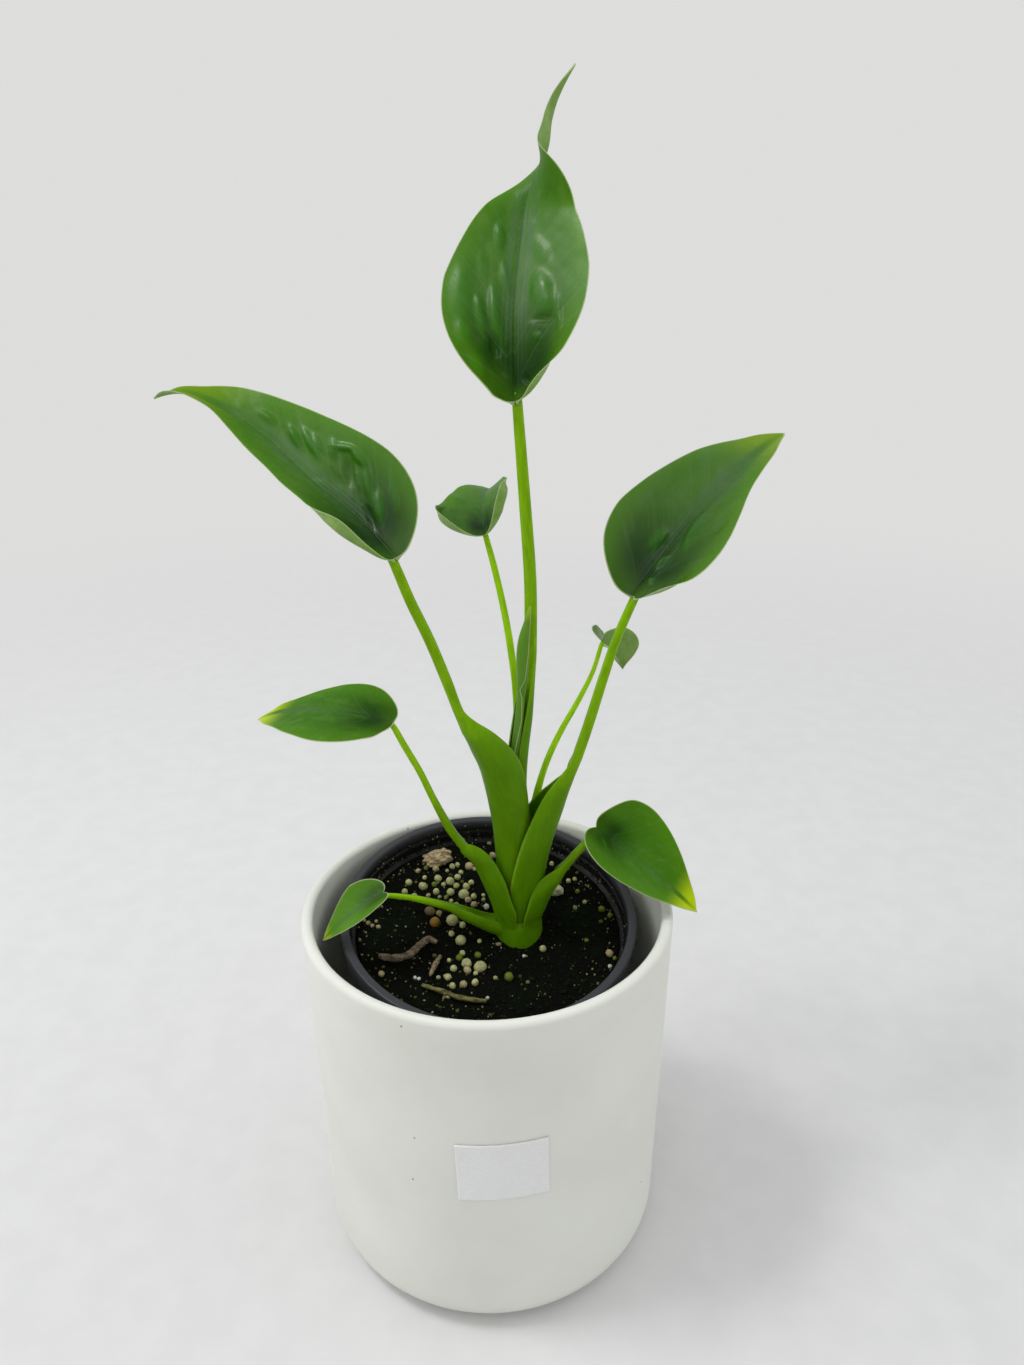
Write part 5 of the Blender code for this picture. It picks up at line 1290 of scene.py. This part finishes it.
LOOKS = {
    "left_tall": dict(
        tone=0.5, yellow=0.35, gilt=0.2, wave=0.4, curl_from=0.78,
        left=widths(1.25, 1.5, 1.5, 1.39, 1.16, 1.23, 1.45, 1.49, 1.37, 1.2, 1.01, 0.85, 0.82,
                    0.89, 1, 1.07, 0.98, 0.89, 1.35, 1.35, 1),
        right=widths(1.04, 1.09, 0.99, 0.89, 0.96, 1.01, 1.02, 1.04, 1.03, 1.03, 1.02, 1.04, 1.06,
                     1, 0.95, 0.91, 0.95, 0.99, 0.6, 1.29, 1),
        curl_left=((0, 90), (0.12, 110), (0.3, 105), (0.45, 0), (1, 0)),
        curl_right=((0, 40), (0.15, 30), (0.3, 0), (1, 0)),
        shine=((0, 0.3), (0.42, 0.32), (0.58, 0.12), (1, 0.04)),
        blisters=((54.7, -6.3, 3.9, 1.4, 162, 1.12), (49.1, -8.5, 5.5, 1.4, 163, 1.26),
                  (46.7, -10.2, 3.5, 1, 160, 0.84), (41.4, -11.9, 3.3, 1.4, 131, 1.12),
                  (39, -14.8, 3, 1.2, -147, 1.12), (33.1, -15.4, 3.9, 1.4, 165, 1.26),
                  (24.9, -10.4, 5.5, 1.4, 143, 1.26), (32.2, -9.2, 4.9, 1.8, 135, -1.26),
                  (16.7, -7.3, 5.2, 1.7, 141, 1.4), (16.2, -2.8, 4.3, 1.3, 160, -1.4),
                  (28.9, -9.5, 3.4, 0.8, 141, 0.7), (66.8, -5.6, 3.8, 1.4, 177, 0.49),
                  (33.6, -5.1, 5.1, 1.6, 169, -0.56), (15.7, -13.9, 5.8, 1.3, 143, 0.49),
                  (35.3, -0.7, 3.5, 1, 180, 0.42))),
    "right_tall": dict(
        tone=0.55, yellow=0.4, gilt=0.28, wave=0.4, curl_from=0.74,
        left=widths(1.07, 1.15, 1.15, 1.01, 0.99, 1, 1.02, 1.06, 1.04, 1.02, 1.01, 1.01, 1.03,
                    1.04, 1.06, 1.06, 1.06, 0.99, 1.1, 1.15, 1),
        right=widths(1.06, 1.11, 0.85, 0.85, 1.14, 1.22, 1.26, 1.2, 1.1, 1.06, 1.04, 1.04, 1.02,
                     0.91, 0.81, 0.83, 0.91, 1.01, 1, 1.1, 1),
        curl_left=FLAT,
        curl_right=((0, 110), (0.1, 150), (0.2, 120), (0.28, 40), (0.34, 0), (1, 0)),
        shine=((0, 0.22), (0.5, 0.24), (0.75, 0.12), (1, 0.03)),
        blisters=((32.9, -3.9, 8.4, 2.2, -169, 1.92), (22.8, 5.2, 4.4, 2, 175, 1.76),
                  (16.1, -1.4, 3, 1.4, 164, 1.44), (7.5, -2.5, 1.3, 1, -143, 0.96),
                  (40.9, 16.1, 11.5, 2.9, 175, -1.44), (60.3, 13.6, 6.1, 2.5, 176, 0.64),
                  (35.9, -11.3, 5, 2, 178, -0.48), (18.6, 13, 6.3, 2.4, -166, -0.56),
                  (34.1, 7.7, 3.7, 1.6, -172, 0.48))),
    "top": dict(
        tone=0.35, yellow=0.1, gilt=0.3, wave=0.5, curl_from=0.66,
        left=widths(1.15, 1.3, 1.3, 0.88, 0.72, 0.76, 0.85, 0.92, 0.95, 0.98, 0.97, 0.9, 0.84,
                    0.77, 0.62, 0.36, 0.3, 0.46, 0.75, 1, 1),
        right=widths(1.25, 1.5, 1.5, 1.34, 1.34, 1.31, 1.16, 1.07, 1.09, 1.11, 1.08, 1.04, 1.03, 1,
                     0.94, 1.12, 1, 0.75, 0.8, 1.05, 1),
        curl_left=((0, 120), (0.05, 140), (0.1, 80), (0.15, 0), (1, 0)),
        curl_right=((0, 120), (0.08, 165), (0.15, 130), (0.22, 50), (0.28, 0), (1, 0)),
        shine=((0, 0.03), (0.16, 0.06), (0.3, 0.26), (0.44, 0.26), (0.6, 0.1), (1, 0.1)),
        blisters=((54.3, 7.1, 4.1, 1.6, -169, 0.94), (36, 17.1, 8.5, 3.5, -172, 1.08),
                  (29.4, 11.2, 6.1, 1.4, -168, 1.35), (29.6, 6.4, 8.5, 1.7, -171, 1.35),
                  (42, 4.1, 4.3, 1.2, -165, 0.81), (22.4, 16.2, 4.3, 2.3, -164, 0.81),
                  (18.4, 6.5, 3.9, 1.7, -173, -1.49), (12.3, 6.2, 4.8, 1.5, -143, -0.94),
                  (12.3, 11.9, 4.7, 1.9, -156, 0.68), (34.3, -9.8, 7.3, 3.5, -163, 1.49),
                  (25.4, -11, 3.9, 1.5, -99, -1.08), (20, -8.2, 1.9, 0.9, -127, 0.54),
                  (6, -4.7, 2.2, 1.1, -133, -0.68), (25.2, -16.3, 6.1, 0.9, -176, 0.47),
                  (49.3, -8, 6.3, 2.4, -146, 0.47), (44.3, 11.3, 5, 1.6, -166, 0.47))),
    "left_low": dict(
        tone=0.3, yellow=0.34, gilt=1, wave=0.25, curl_from=0.76,
        left=widths(1.15, 1.3, 1.3, 1.3, 1.15, 0.95, 0.93, 0.94, 0.93, 0.94, 0.97, 0.99, 1, 1.03,
                    1.05, 1.06, 1.08, 1.17, 1.35, 1.35, 1),
        right=widths(1.07, 1.15, 1.15, 1.12, 1.01, 1.02, 1.03, 1.03, 1.04, 1.05, 1.02, 1, 1.01,
                     1.01, 0.96, 0.88, 0.88, 0.98, 1.35, 1.35, 1),
        curl_left=((0, 120), (0.1, 130), (0.17, 0), (1, 0)),
        curl_right=FLAT,
        shine=((0, 0.08), (0.6, 0.1), (1, 0.02)),
        blisters=((22.5, -6.4, 5.8, 1.4, 167, 0.35), (30.2, 2.4, 5.5, 1.2, 168, 0.3),
                  (10.9, 1.7, 2.7, 1, 170, 0.35), (10.4, 9.6, 3, 1, -171, -0.3))),
    "right_low": dict(
        tone=0.5, yellow=0.3, gilt=1, wave=0.3, curl_from=0.6,
        left=((0, 1), (0.06, 0.88), (0.12, 0.76), (0.18, 0.77), (0.25, 1.11), (0.32, 1.06),
              (0.4, 1), (0.48, 0.97), (0.56, 1), (0.64, 1.03), (0.7, 1.05), (0.76, 1.09),
              (0.82, 1.1), (0.88, 1.19), (0.94, 1.35), (1, 1)),
        right=PLAIN,
        curl_left=FLAT,
        curl_right=FLAT,
        shine=((0, 0.05), (0.5, 0.07), (1, 0.02)),
        blisters=((5.8, -3.9, 2.2, 1, -41, 0.45), (19.6, -2.9, 3.1, 1.4, -8, 0.3),
                  (22.7, 5.4, 3.2, 1.3, -18, -0.25), (14.6, -5.7, 2.6, 1, -9, -0.25))),
    "left_front": dict(
        tone=1, yellow=0.24, gilt=0.7, wave=0.15, curl_from=0.6,
        left=PLAIN,
        right=PLAIN,
        curl_left=FLAT,
        curl_right=FLAT,
        shine=((0, 0.2), (1, 0.12)),
        blisters=()),
    "mid_back": dict(
        tone=0.5, yellow=0, gilt=0, wave=0.3, curl_from=0.7,
        left=((0, 1.45), (0.28, 1.45), (0.36, 1.3), (0.44, 1.03), (0.52, 0.94), (0.6, 0.95),
              (0.68, 0.97), (0.76, 1.14), (0.84, 1.4), (0.92, 1.37), (1, 1)),
        right=((0, 1.2), (0.12, 1.2), (0.2, 1.25), (0.28, 1.05), (0.36, 1.1), (0.44, 1.15),
               (0.52, 1), (0.6, 1.02), (0.68, 0.96), (0.76, 0.98), (0.84, 1.4), (0.92, 1.5),
               (1, 1)),
        curl_left=((0, 110), (0.25, 115), (0.42, 50), (0.55, 0), (1, 0)),
        curl_right=((0, 110), (0.3, 115), (0.45, 70), (0.6, 0), (1, 0)),
        shine=((0, 0.2), (1, 0.2)),
        blisters=((17.1, 9.7, 3.2, 1.8, -127, 0.5), (9, 9.4, 3, 1.5, -110, -0.5),
                  (11.2, 2.7, 5.2, 1.3, -152, 0.4), (7.2, -9.4, 5.1, 1.3, -155, -0.3))),
    "right_back": dict(
        tone=0.9, yellow=0.4, gilt=1, wave=0.2, curl_from=0.6,
        left=PLAIN,
        right=PLAIN,
        curl_left=FLAT,
        curl_right=FLAT,
        shine=((0, 0.2), (1, 0.08)),
        blisters=()),
}
print("blisters:", sum(len(look["blisters"]) for look in LOOKS.values()))

# %% Veins and blisters
VEINS = 9.0
FULL_LENGTH = 110.0  # mm; a shorter blade has finer ridges in the same measure


def vein_phase(x, y):
    """x - a |y|^0.64 ahead of the first vein. Behind it the veins fan out from the base."""
    reach = 0.30 * (y * y + 0.0012) ** 0.32
    ratio = np.clip(x / reach, -1.5, 1.0)
    return np.where(x > reach, x - reach, -0.14 * (1 - ratio))


def blister_relief(marks, x, y):
    """Sum of smooth mounds; each has a place, a length, a width, a turn and a height."""
    relief = np.zeros_like(x)
    for along, across, length, width, turn_degrees, height in marks:
        c, s = math.cos(math.radians(turn_degrees)), math.sin(math.radians(turn_degrees))
        u = ((x - along) * c + (y - across) * s) / length
        v = ((y - across) * c - (x - along) * s) / width
        relief += height * np.exp(-(u * u + v * v) ** 1.5)
    return relief


def blade_relief(shape, look, x, y, share):
    """Quilting between the veins, grooves along them, blisters, waves that grow to the margin."""
    phase = vein_phase(x / shape["length"], y / (shape["width"] / 2)) * VEINS
    cell = phase + 0.5 * ease(y, 0.5, 3.0)
    turn_in_cell = cell - np.floor(cell)
    size = shape["length"] / FULL_LENGTH
    inner = ease(np.abs(y), 1.5 * size, 5.0 * size) * (1 - np.abs(share) ** 4)
    quilt = (np.sin(math.pi * turn_in_cell) ** 2 - 0.5) * 0.24 * size * inner
    quilt = quilt * (0.4 + 0.6 * lumps(x + 200, y + 200, 8.0 * size, 81))
    groove = -0.05 * size * np.exp(-((turn_in_cell - np.round(turn_in_cell)) / 0.07) ** 2) * inner
    small = 0.09 * size * lumps(x + 300, y + 300, 3.2 * size, 82) * inner
    wave = look["wave"] * np.abs(share) ** 3 * lumps(x + 400, np.sign(y) * 30 + 400, 11 * size, 83)
    return quilt + groove + small + wave + blister_relief(look["blisters"], x, y)


print("veins on each side of a blade:", VEINS)

# %% Blade surfaces
FINE_GRID = (170, 52)  # rows, and columns of half a blade
PLAIN_GRID = (110, 36)


def blade_surface(shape, look, rows, columns):
    """Upper and lower grid from notch to tip, closed by a rim, with the fields for its finish.
    Rows lie at q = u (1.45 - 0.45 u^2) and columns at 1 - (1 - t)^1.3 for even u and t from 0
    to 1, so they are closer together at the tip and at the margins."""
    q = np.linspace(0.0, 1.0, rows + 1)
    q = q * (1.45 - 0.45 * q ** 2)
    t = np.linspace(-1.0, 1.0, 2 * columns + 1)
    share = (np.sign(t) * (1 - (1 - np.abs(t)) ** 1.3))[None, :]
    edge = blade_outline(q, shape)
    along = (q[:, None] ** 1.25 * (1 - np.abs(share)) + edge[:, :1] * np.abs(share))
    left, right = (along_edge(look[key], q)[:, None] for key in ("left", "right"))
    half_width = edge[:, 1:] * shape["width"] / 2 * (1 + np.sign(share) * shape["lean"])
    half_width = half_width * np.where(share > 0, left, right)
    left, right = (along_edge(look[key], q)[:, None] for key in ("curl_left", "curl_right"))
    curl = np.radians(np.where(share > 0, left, right))
    x, y = along * shape["length"], share * half_width
    grid = bend_blade(shape, x, y, np.repeat(share, rows + 1, axis=0), curl, look["curl_from"])
    inside = grid[1:-1]
    normal = unit(np.cross(np.gradient(grid, axis=0)[1:-1], np.gradient(inside, axis=1)))
    x, y, share = x[1:-1], y[1:-1], np.repeat(share, rows - 1, axis=0)
    half_width = half_width[1:-1]
    size = shape["length"] / FULL_LENGTH
    relief = blade_relief(shape, look, x, y, share)
    fade = np.clip(1 - x / shape["length"], 0, 1)
    groove = -0.35 * size * np.exp(-(y / (1.1 * size)) ** 2) * fade
    rib = (0.25 + 1.1 * fade ** 1.3) * size * np.exp(-(y / (1.5 * size)) ** 2)
    half = 0.07 + 0.15 * (1 - np.abs(share) ** 8)
    upper = inside + normal * (relief + groove + half)[..., None]
    lower = inside + normal * (relief - rib - half)[..., None]
    ends = []
    for side in (1.0, -1.0):
        for row in (0, -1):
            ends.append(grid[row, columns] + side * 0.1 * normal[row, columns])
    count = (rows - 1) * (2 * columns + 1)
    points = np.vstack([upper.reshape(-1, 3), lower.reshape(-1, 3), np.array(ends)])
    phase = vein_phase(x / shape["length"], y / (shape["width"] / 2)) + 0.055 * ease(y, 0.5, 3.0)
    rim = (1 - np.abs(share)) * half_width
    fields = {"phase": phase, "aside": np.abs(y) / size, "ahead": x / shape["length"], "rim": rim}
    # The blister height, which also masks the painted shade on the blisters in the finish.
    fields["swell"] = np.clip(blister_relief(look["blisters"], x, y), 0.0, 0.6)
    fields = {key: with_ends(value) for key, value in fields.items()}
    fields["under"] = np.concatenate([np.zeros(count), np.ones(count), [0, 0, 1, 1]])
    for key in ("tone", "yellow", "gilt"):
        fields[key] = np.full(len(points), look[key])
    fields["shine"] = with_ends(np.interp(x / shape["length"], *np.array(look["shine"]).T))
    return points, blade_faces(rows - 1, 2 * columns + 1), fields


def with_ends(values):
    """The field for both layers, then the notch and the tip of each layer."""
    flat = values.ravel()
    middle = values.shape[1] // 2
    ends = [values[0, middle], values[-1, middle]]
    return np.concatenate([flat, flat, ends, ends])


def blade_faces(rows, wide):
    """Both grids, a fan to the notch and to the tip on each, and the rim between the layers."""
    count = rows * wide
    notch, tip = 2 * count, 2 * count + 1
    first, last = np.arange(wide - 1), (rows - 1) * wide + np.arange(wide - 1)
    faces = []
    for shift, poles in ((0, 0), (count, 2)):
        faces.append(grid_quads(rows, wide, first=shift))
        ends = np.full_like(first, notch + poles), np.full_like(last, tip + poles)
        faces.append(np.stack([first + shift + 1, first + shift, ends[0]], -1))
        faces.append(np.stack([last + shift, last + shift + 1, ends[1]], -1))
    side = np.arange(rows) * wide
    for column in (side, side + wide - 1):
        path = np.concatenate([[notch], column, [tip]])
        under = np.concatenate([[notch + 2], column + count, [tip + 2]])
        faces.append(np.stack([path[:-1], path[1:], under[1:], under[:-1]], -1))
    return faces


print("rows and half columns of a large blade:", FINE_GRID)

# %% Blade colours


def blade_finish():
    """Deep green in faint clouds, painted shade at the base and on the blisters, and fine
    blue-grey lines beside the midrib that are partly painted sheen. A gold tip, a pale thin
    margin and a pale underside."""
    made, tree, shader = new_finish("blade_green", Subsurface_Scale=0.0010,
                                    Subsurface_Radius=(0.7, 1.5, 0.2))
    place = object_place(tree)
    phase, aside, ahead = field(tree, "phase"), field(tree, "aside"), field(tree, "ahead")
    under = field(tree, "under")
    grid = add_node(tree, "CombineXYZ", {0: aside, 1: ahead, 2: phase}).outputs[0]
    mottle = remap(tree, noise(tree, place, 170.0, 6.0, 0.7), 0.35, 0.65)
    deep = mixed(tree, field(tree, "tone"), (0.022, 0.112, 0.001), (0.075, 0.215, 0.008))
    leaf = mixed(tree, maths(tree, "MULTIPLY", mottle, 0.55), deep, (0.060, 0.165, 0.004))
    cloud = noise(tree, stretched(tree, grid, (0.16, 9.0, 1.0)), 1.0, 4.0, 0.62)
    leaf = mixed(tree, remap(tree, cloud, 0.50, 0.66, 0.0, 0.6), leaf, (0.082, 0.185, 0.024))
    # Painted shade: the base of the blade near the midrib turns near-black green, where the cupped
    # base lies in shade.
    low = maths(tree, "MULTIPLY", remap(tree, ahead, 0.04, 0.45, 0.95, 0.0),
                remap(tree, aside, 8.0, 22.0, 1.0, 0.35))
    leaf = mixed(tree, low, leaf, (0.0015, 0.022, 0.0003))
    # Painted shade: the blisters get a darker, more saturated green, where the sheen on the rest of
    # the blade is missing.
    leaf = mixed(tree, field(tree, "swell"), leaf, (0.028, 0.145, 0.0006))
    edge = remap(tree, field(tree, "rim"), 9.0, 1.0, 0.0, 0.25)
    leaf = mixed(tree, edge, leaf, (0.115, 0.300, 0.003))
    lines = noise(tree, stretched(tree, grid, (1.3, 1.5, 0.0)), 1.0, 2.0, 0.6)
    fan = noise(tree, stretched(tree, phase, (70.0, 0.0, 0.0)), 1.0, 2.0)
    body = maths(tree, "MULTIPLY", remap(tree, ahead, 0.60, 0.78, 1.0, 0.0),
                 remap(tree, ahead, 0.02, 0.20, 0.4, 1.0))
    fan = maths(tree, "MULTIPLY", fan, body)
    main = maths(tree, "PINGPONG", maths(tree, "MULTIPLY", phase, VEINS), 0.5)
    vein = maths(tree, "MULTIPLY", remap(tree, main, 0.05, 0.0), body)
    # Blue-grey in fine lines beside the midrib, stronger where the blade is glossier: partly the
    # blade's own grey-green, partly painted sheen.
    midrib_grey_and_sheen = maths(tree, "MULTIPLY", remap(tree, aside, 1.2, 6.0, 1.0, 0.0),
                 remap(tree, ahead, 0.7, 0.95, 1.0, 0.3),
                 remap(tree, field(tree, "shine"), 0.05, 0.22, 0.35, 1.0),
                 remap(tree, ahead, 0.02, 0.22, 0.3, 1.0),
                 remap(tree, lines, 0.42, 0.60, 0.0, 0.75))
    leaf = mixed(tree, midrib_grey_and_sheen, leaf, (0.075, 0.135, 0.080))
    leaf = mixed(tree, remap(tree, fan, 0.5, 0.72, 0.0, 0.22), leaf, (0.10, 0.21, 0.05))
    leaf = mixed(tree, maths(tree, "MULTIPLY", vein, 0.16), leaf, (0.12, 0.22, 0.08))
    gold = maths(tree, "SUBTRACT", 1.0, field(tree, "yellow"))
    rise = maths(tree, "DIVIDE", maths(tree, "SUBTRACT", ahead, gold),
                 maths(tree, "MAXIMUM", field(tree, "yellow"), 0.02))
    rise = maths(tree, "SUBTRACT", rise, remap(tree, aside, 0.8, 3.2, 0.35, 0.0))
    gilt = maths(tree, "MULTIPLY", remap(tree, rise, 0.0, 0.75), field(tree, "gilt"))
    leaf = mixed(tree, gilt, leaf, (0.44, 0.58, 0.005))
    pale = mixed(tree, mottle, (0.16, 0.29, 0.055), (0.23, 0.37, 0.09))
    leaf = mixed(tree, under, leaf, pale)
    border = remap(tree, field(tree, "rim"), 0.10, 0.42, 0.8, 0.0)
    leaf = mixed(tree, border, leaf, (0.42, 0.50, 0.24))
    paint(tree, shader, "Base Color", leaf)
    paint(tree, shader, "Specular IOR Level", field(tree, "shine"))
    paint(tree, shader, "Subsurface Weight", remap(tree, ahead, 0.60, 0.80, 0.12, 0.0))
    gloss = remap(tree, noise(tree, place, 300.0, 3.0), 0.3, 0.7, 0.29, 0.40)
    paint(tree, shader, "Roughness", gloss)
    skin = add_node(tree, "TexVoronoi", {"Vector": place, "Scale": 950.0}).outputs["Distance"]
    parts = [maths(tree, "MULTIPLY", part, share)
             for part, share in ((skin, 0.15), (fan, 0.6), (mottle, 0.03), (midrib_grey_and_sheen, 0.4))]
    height = maths(tree, "MULTIPLY", maths(tree, "ADD", *parts),
                   remap(tree, ahead, 0.65, 0.85, 1.0, 0.15))
    bumped(tree, shader, height, 0.00010)
    return made


BLADE_GREEN = blade_finish()
print("nodes in the blade's finish:", len(BLADE_GREEN.node_tree.nodes))

# %% Blades


def make_blade(name, finish):
    """One blade, finer for the three large leaves."""
    shape, look = BLADES[name], LOOKS[name]
    rows, columns = FINE_GRID if shape["length"] > LARGE_FROM else PLAIN_GRID
    points, faces, fields = blade_surface(shape, look, rows, columns)
    return lay_piece(name + "_blade", points, faces, finish, ("blade_" + name,),
                     fields)


for blade in BLADES:
    make_blade(blade, BLADE_GREEN)

# %% [markdown]
# The youngest leaf is still rolled up. Its section is a spiral of one turn: the radius grows a
# little from the hidden margin to the one that lies outside, and the step between them winds
# down the roll as a thin pale line.

# %% Rolled leaf
NEW_LEAF = ((10.3, 7.6, 150, 1.9), (10.3, 7.9, 172, 2.0), (10.5, 8.0, 186, 2.0),
            (11.2, 8.2, 196, 1.9), (12.2, 8.7, 206, 1.7), (12.9, 9.2, 214, 1.6),
            (13.4, 9.3, 221, 2.0), (13.6, 9.4, 229, 2.4), (14.1, 9.6, 235, 2.1),
            (15.2, 10.0, 241, 1.2), (16.1, 10.4, 246, 0.35))
# Height and the compass direction of the outer margin there, in degrees
MARGIN_WAY = ((150, 240), (196, 262), (206, 300), (214, 285), (217, 250), (221, 300), (230, 318),
              (246, 330))
ROLL_LOOK = {"aside": 9.0, "under": 0.25, "tone": 0.8, "yellow": 0.06, "shine": 0.08, "gilt": 0.5,
             "swell": 0.0}


def rolled_surface(rows, way, sides=64):
    """radius (0.84 + 0.16 s) for s from 0 at the inner margin to 1 at the outer one."""
    table = smooth_rows(rows, 12)
    middle, radius = table[:, :3], table[:, 3:4]
    run = unit(np.gradient(middle, axis=0))
    side = unit(np.cross([0.0, 1.0, 0.0], run))
    other = np.cross(run, side)
    heights, degrees = np.array(way, float).T
    start = np.radians(np.interp(middle[:, 2], heights, degrees))[:, None]
    s = np.linspace(0.0, 1.0, sides)[None, :]
    angle = start + 2 * math.pi * s
    reach = radius * (0.84 + 0.16 * s)
    points, faces = wrap_run(middle, side, other, reach, angle)
    return points, faces, s, reach, middle


def make_rolled_leaf(finish):
    """The roll, with the blade's fields: fine veins run along it."""
    points, faces, s, reach, middle = rolled_surface(NEW_LEAF, MARGIN_WAY)
    count, sides = reach.shape
    rim = (1 - s) * reach * 5.0 + 0.02
    foot, height = NEW_LEAF[0][2], NEW_LEAF[-1][2] - NEW_LEAF[0][2]
    top = np.repeat((middle[:, 2:3] - foot) / height, sides, axis=1)
    fields = {"phase": np.repeat(s, count, axis=0) * 0.5, "ahead": top, "rim": rim + 0 * top}
    fields.update({key: np.full((count, sides), value) for key, value in ROLL_LOOK.items()})
    fields = {key: np.concatenate([value.ravel(), value[0, :1], value[-1, -1:]])
              for key, value in fields.items()}
    return lay_piece("rolled_new_leaf", points, faces, finish, ("new_leaf",), fields)


make_rolled_leaf(BLADE_GREEN)
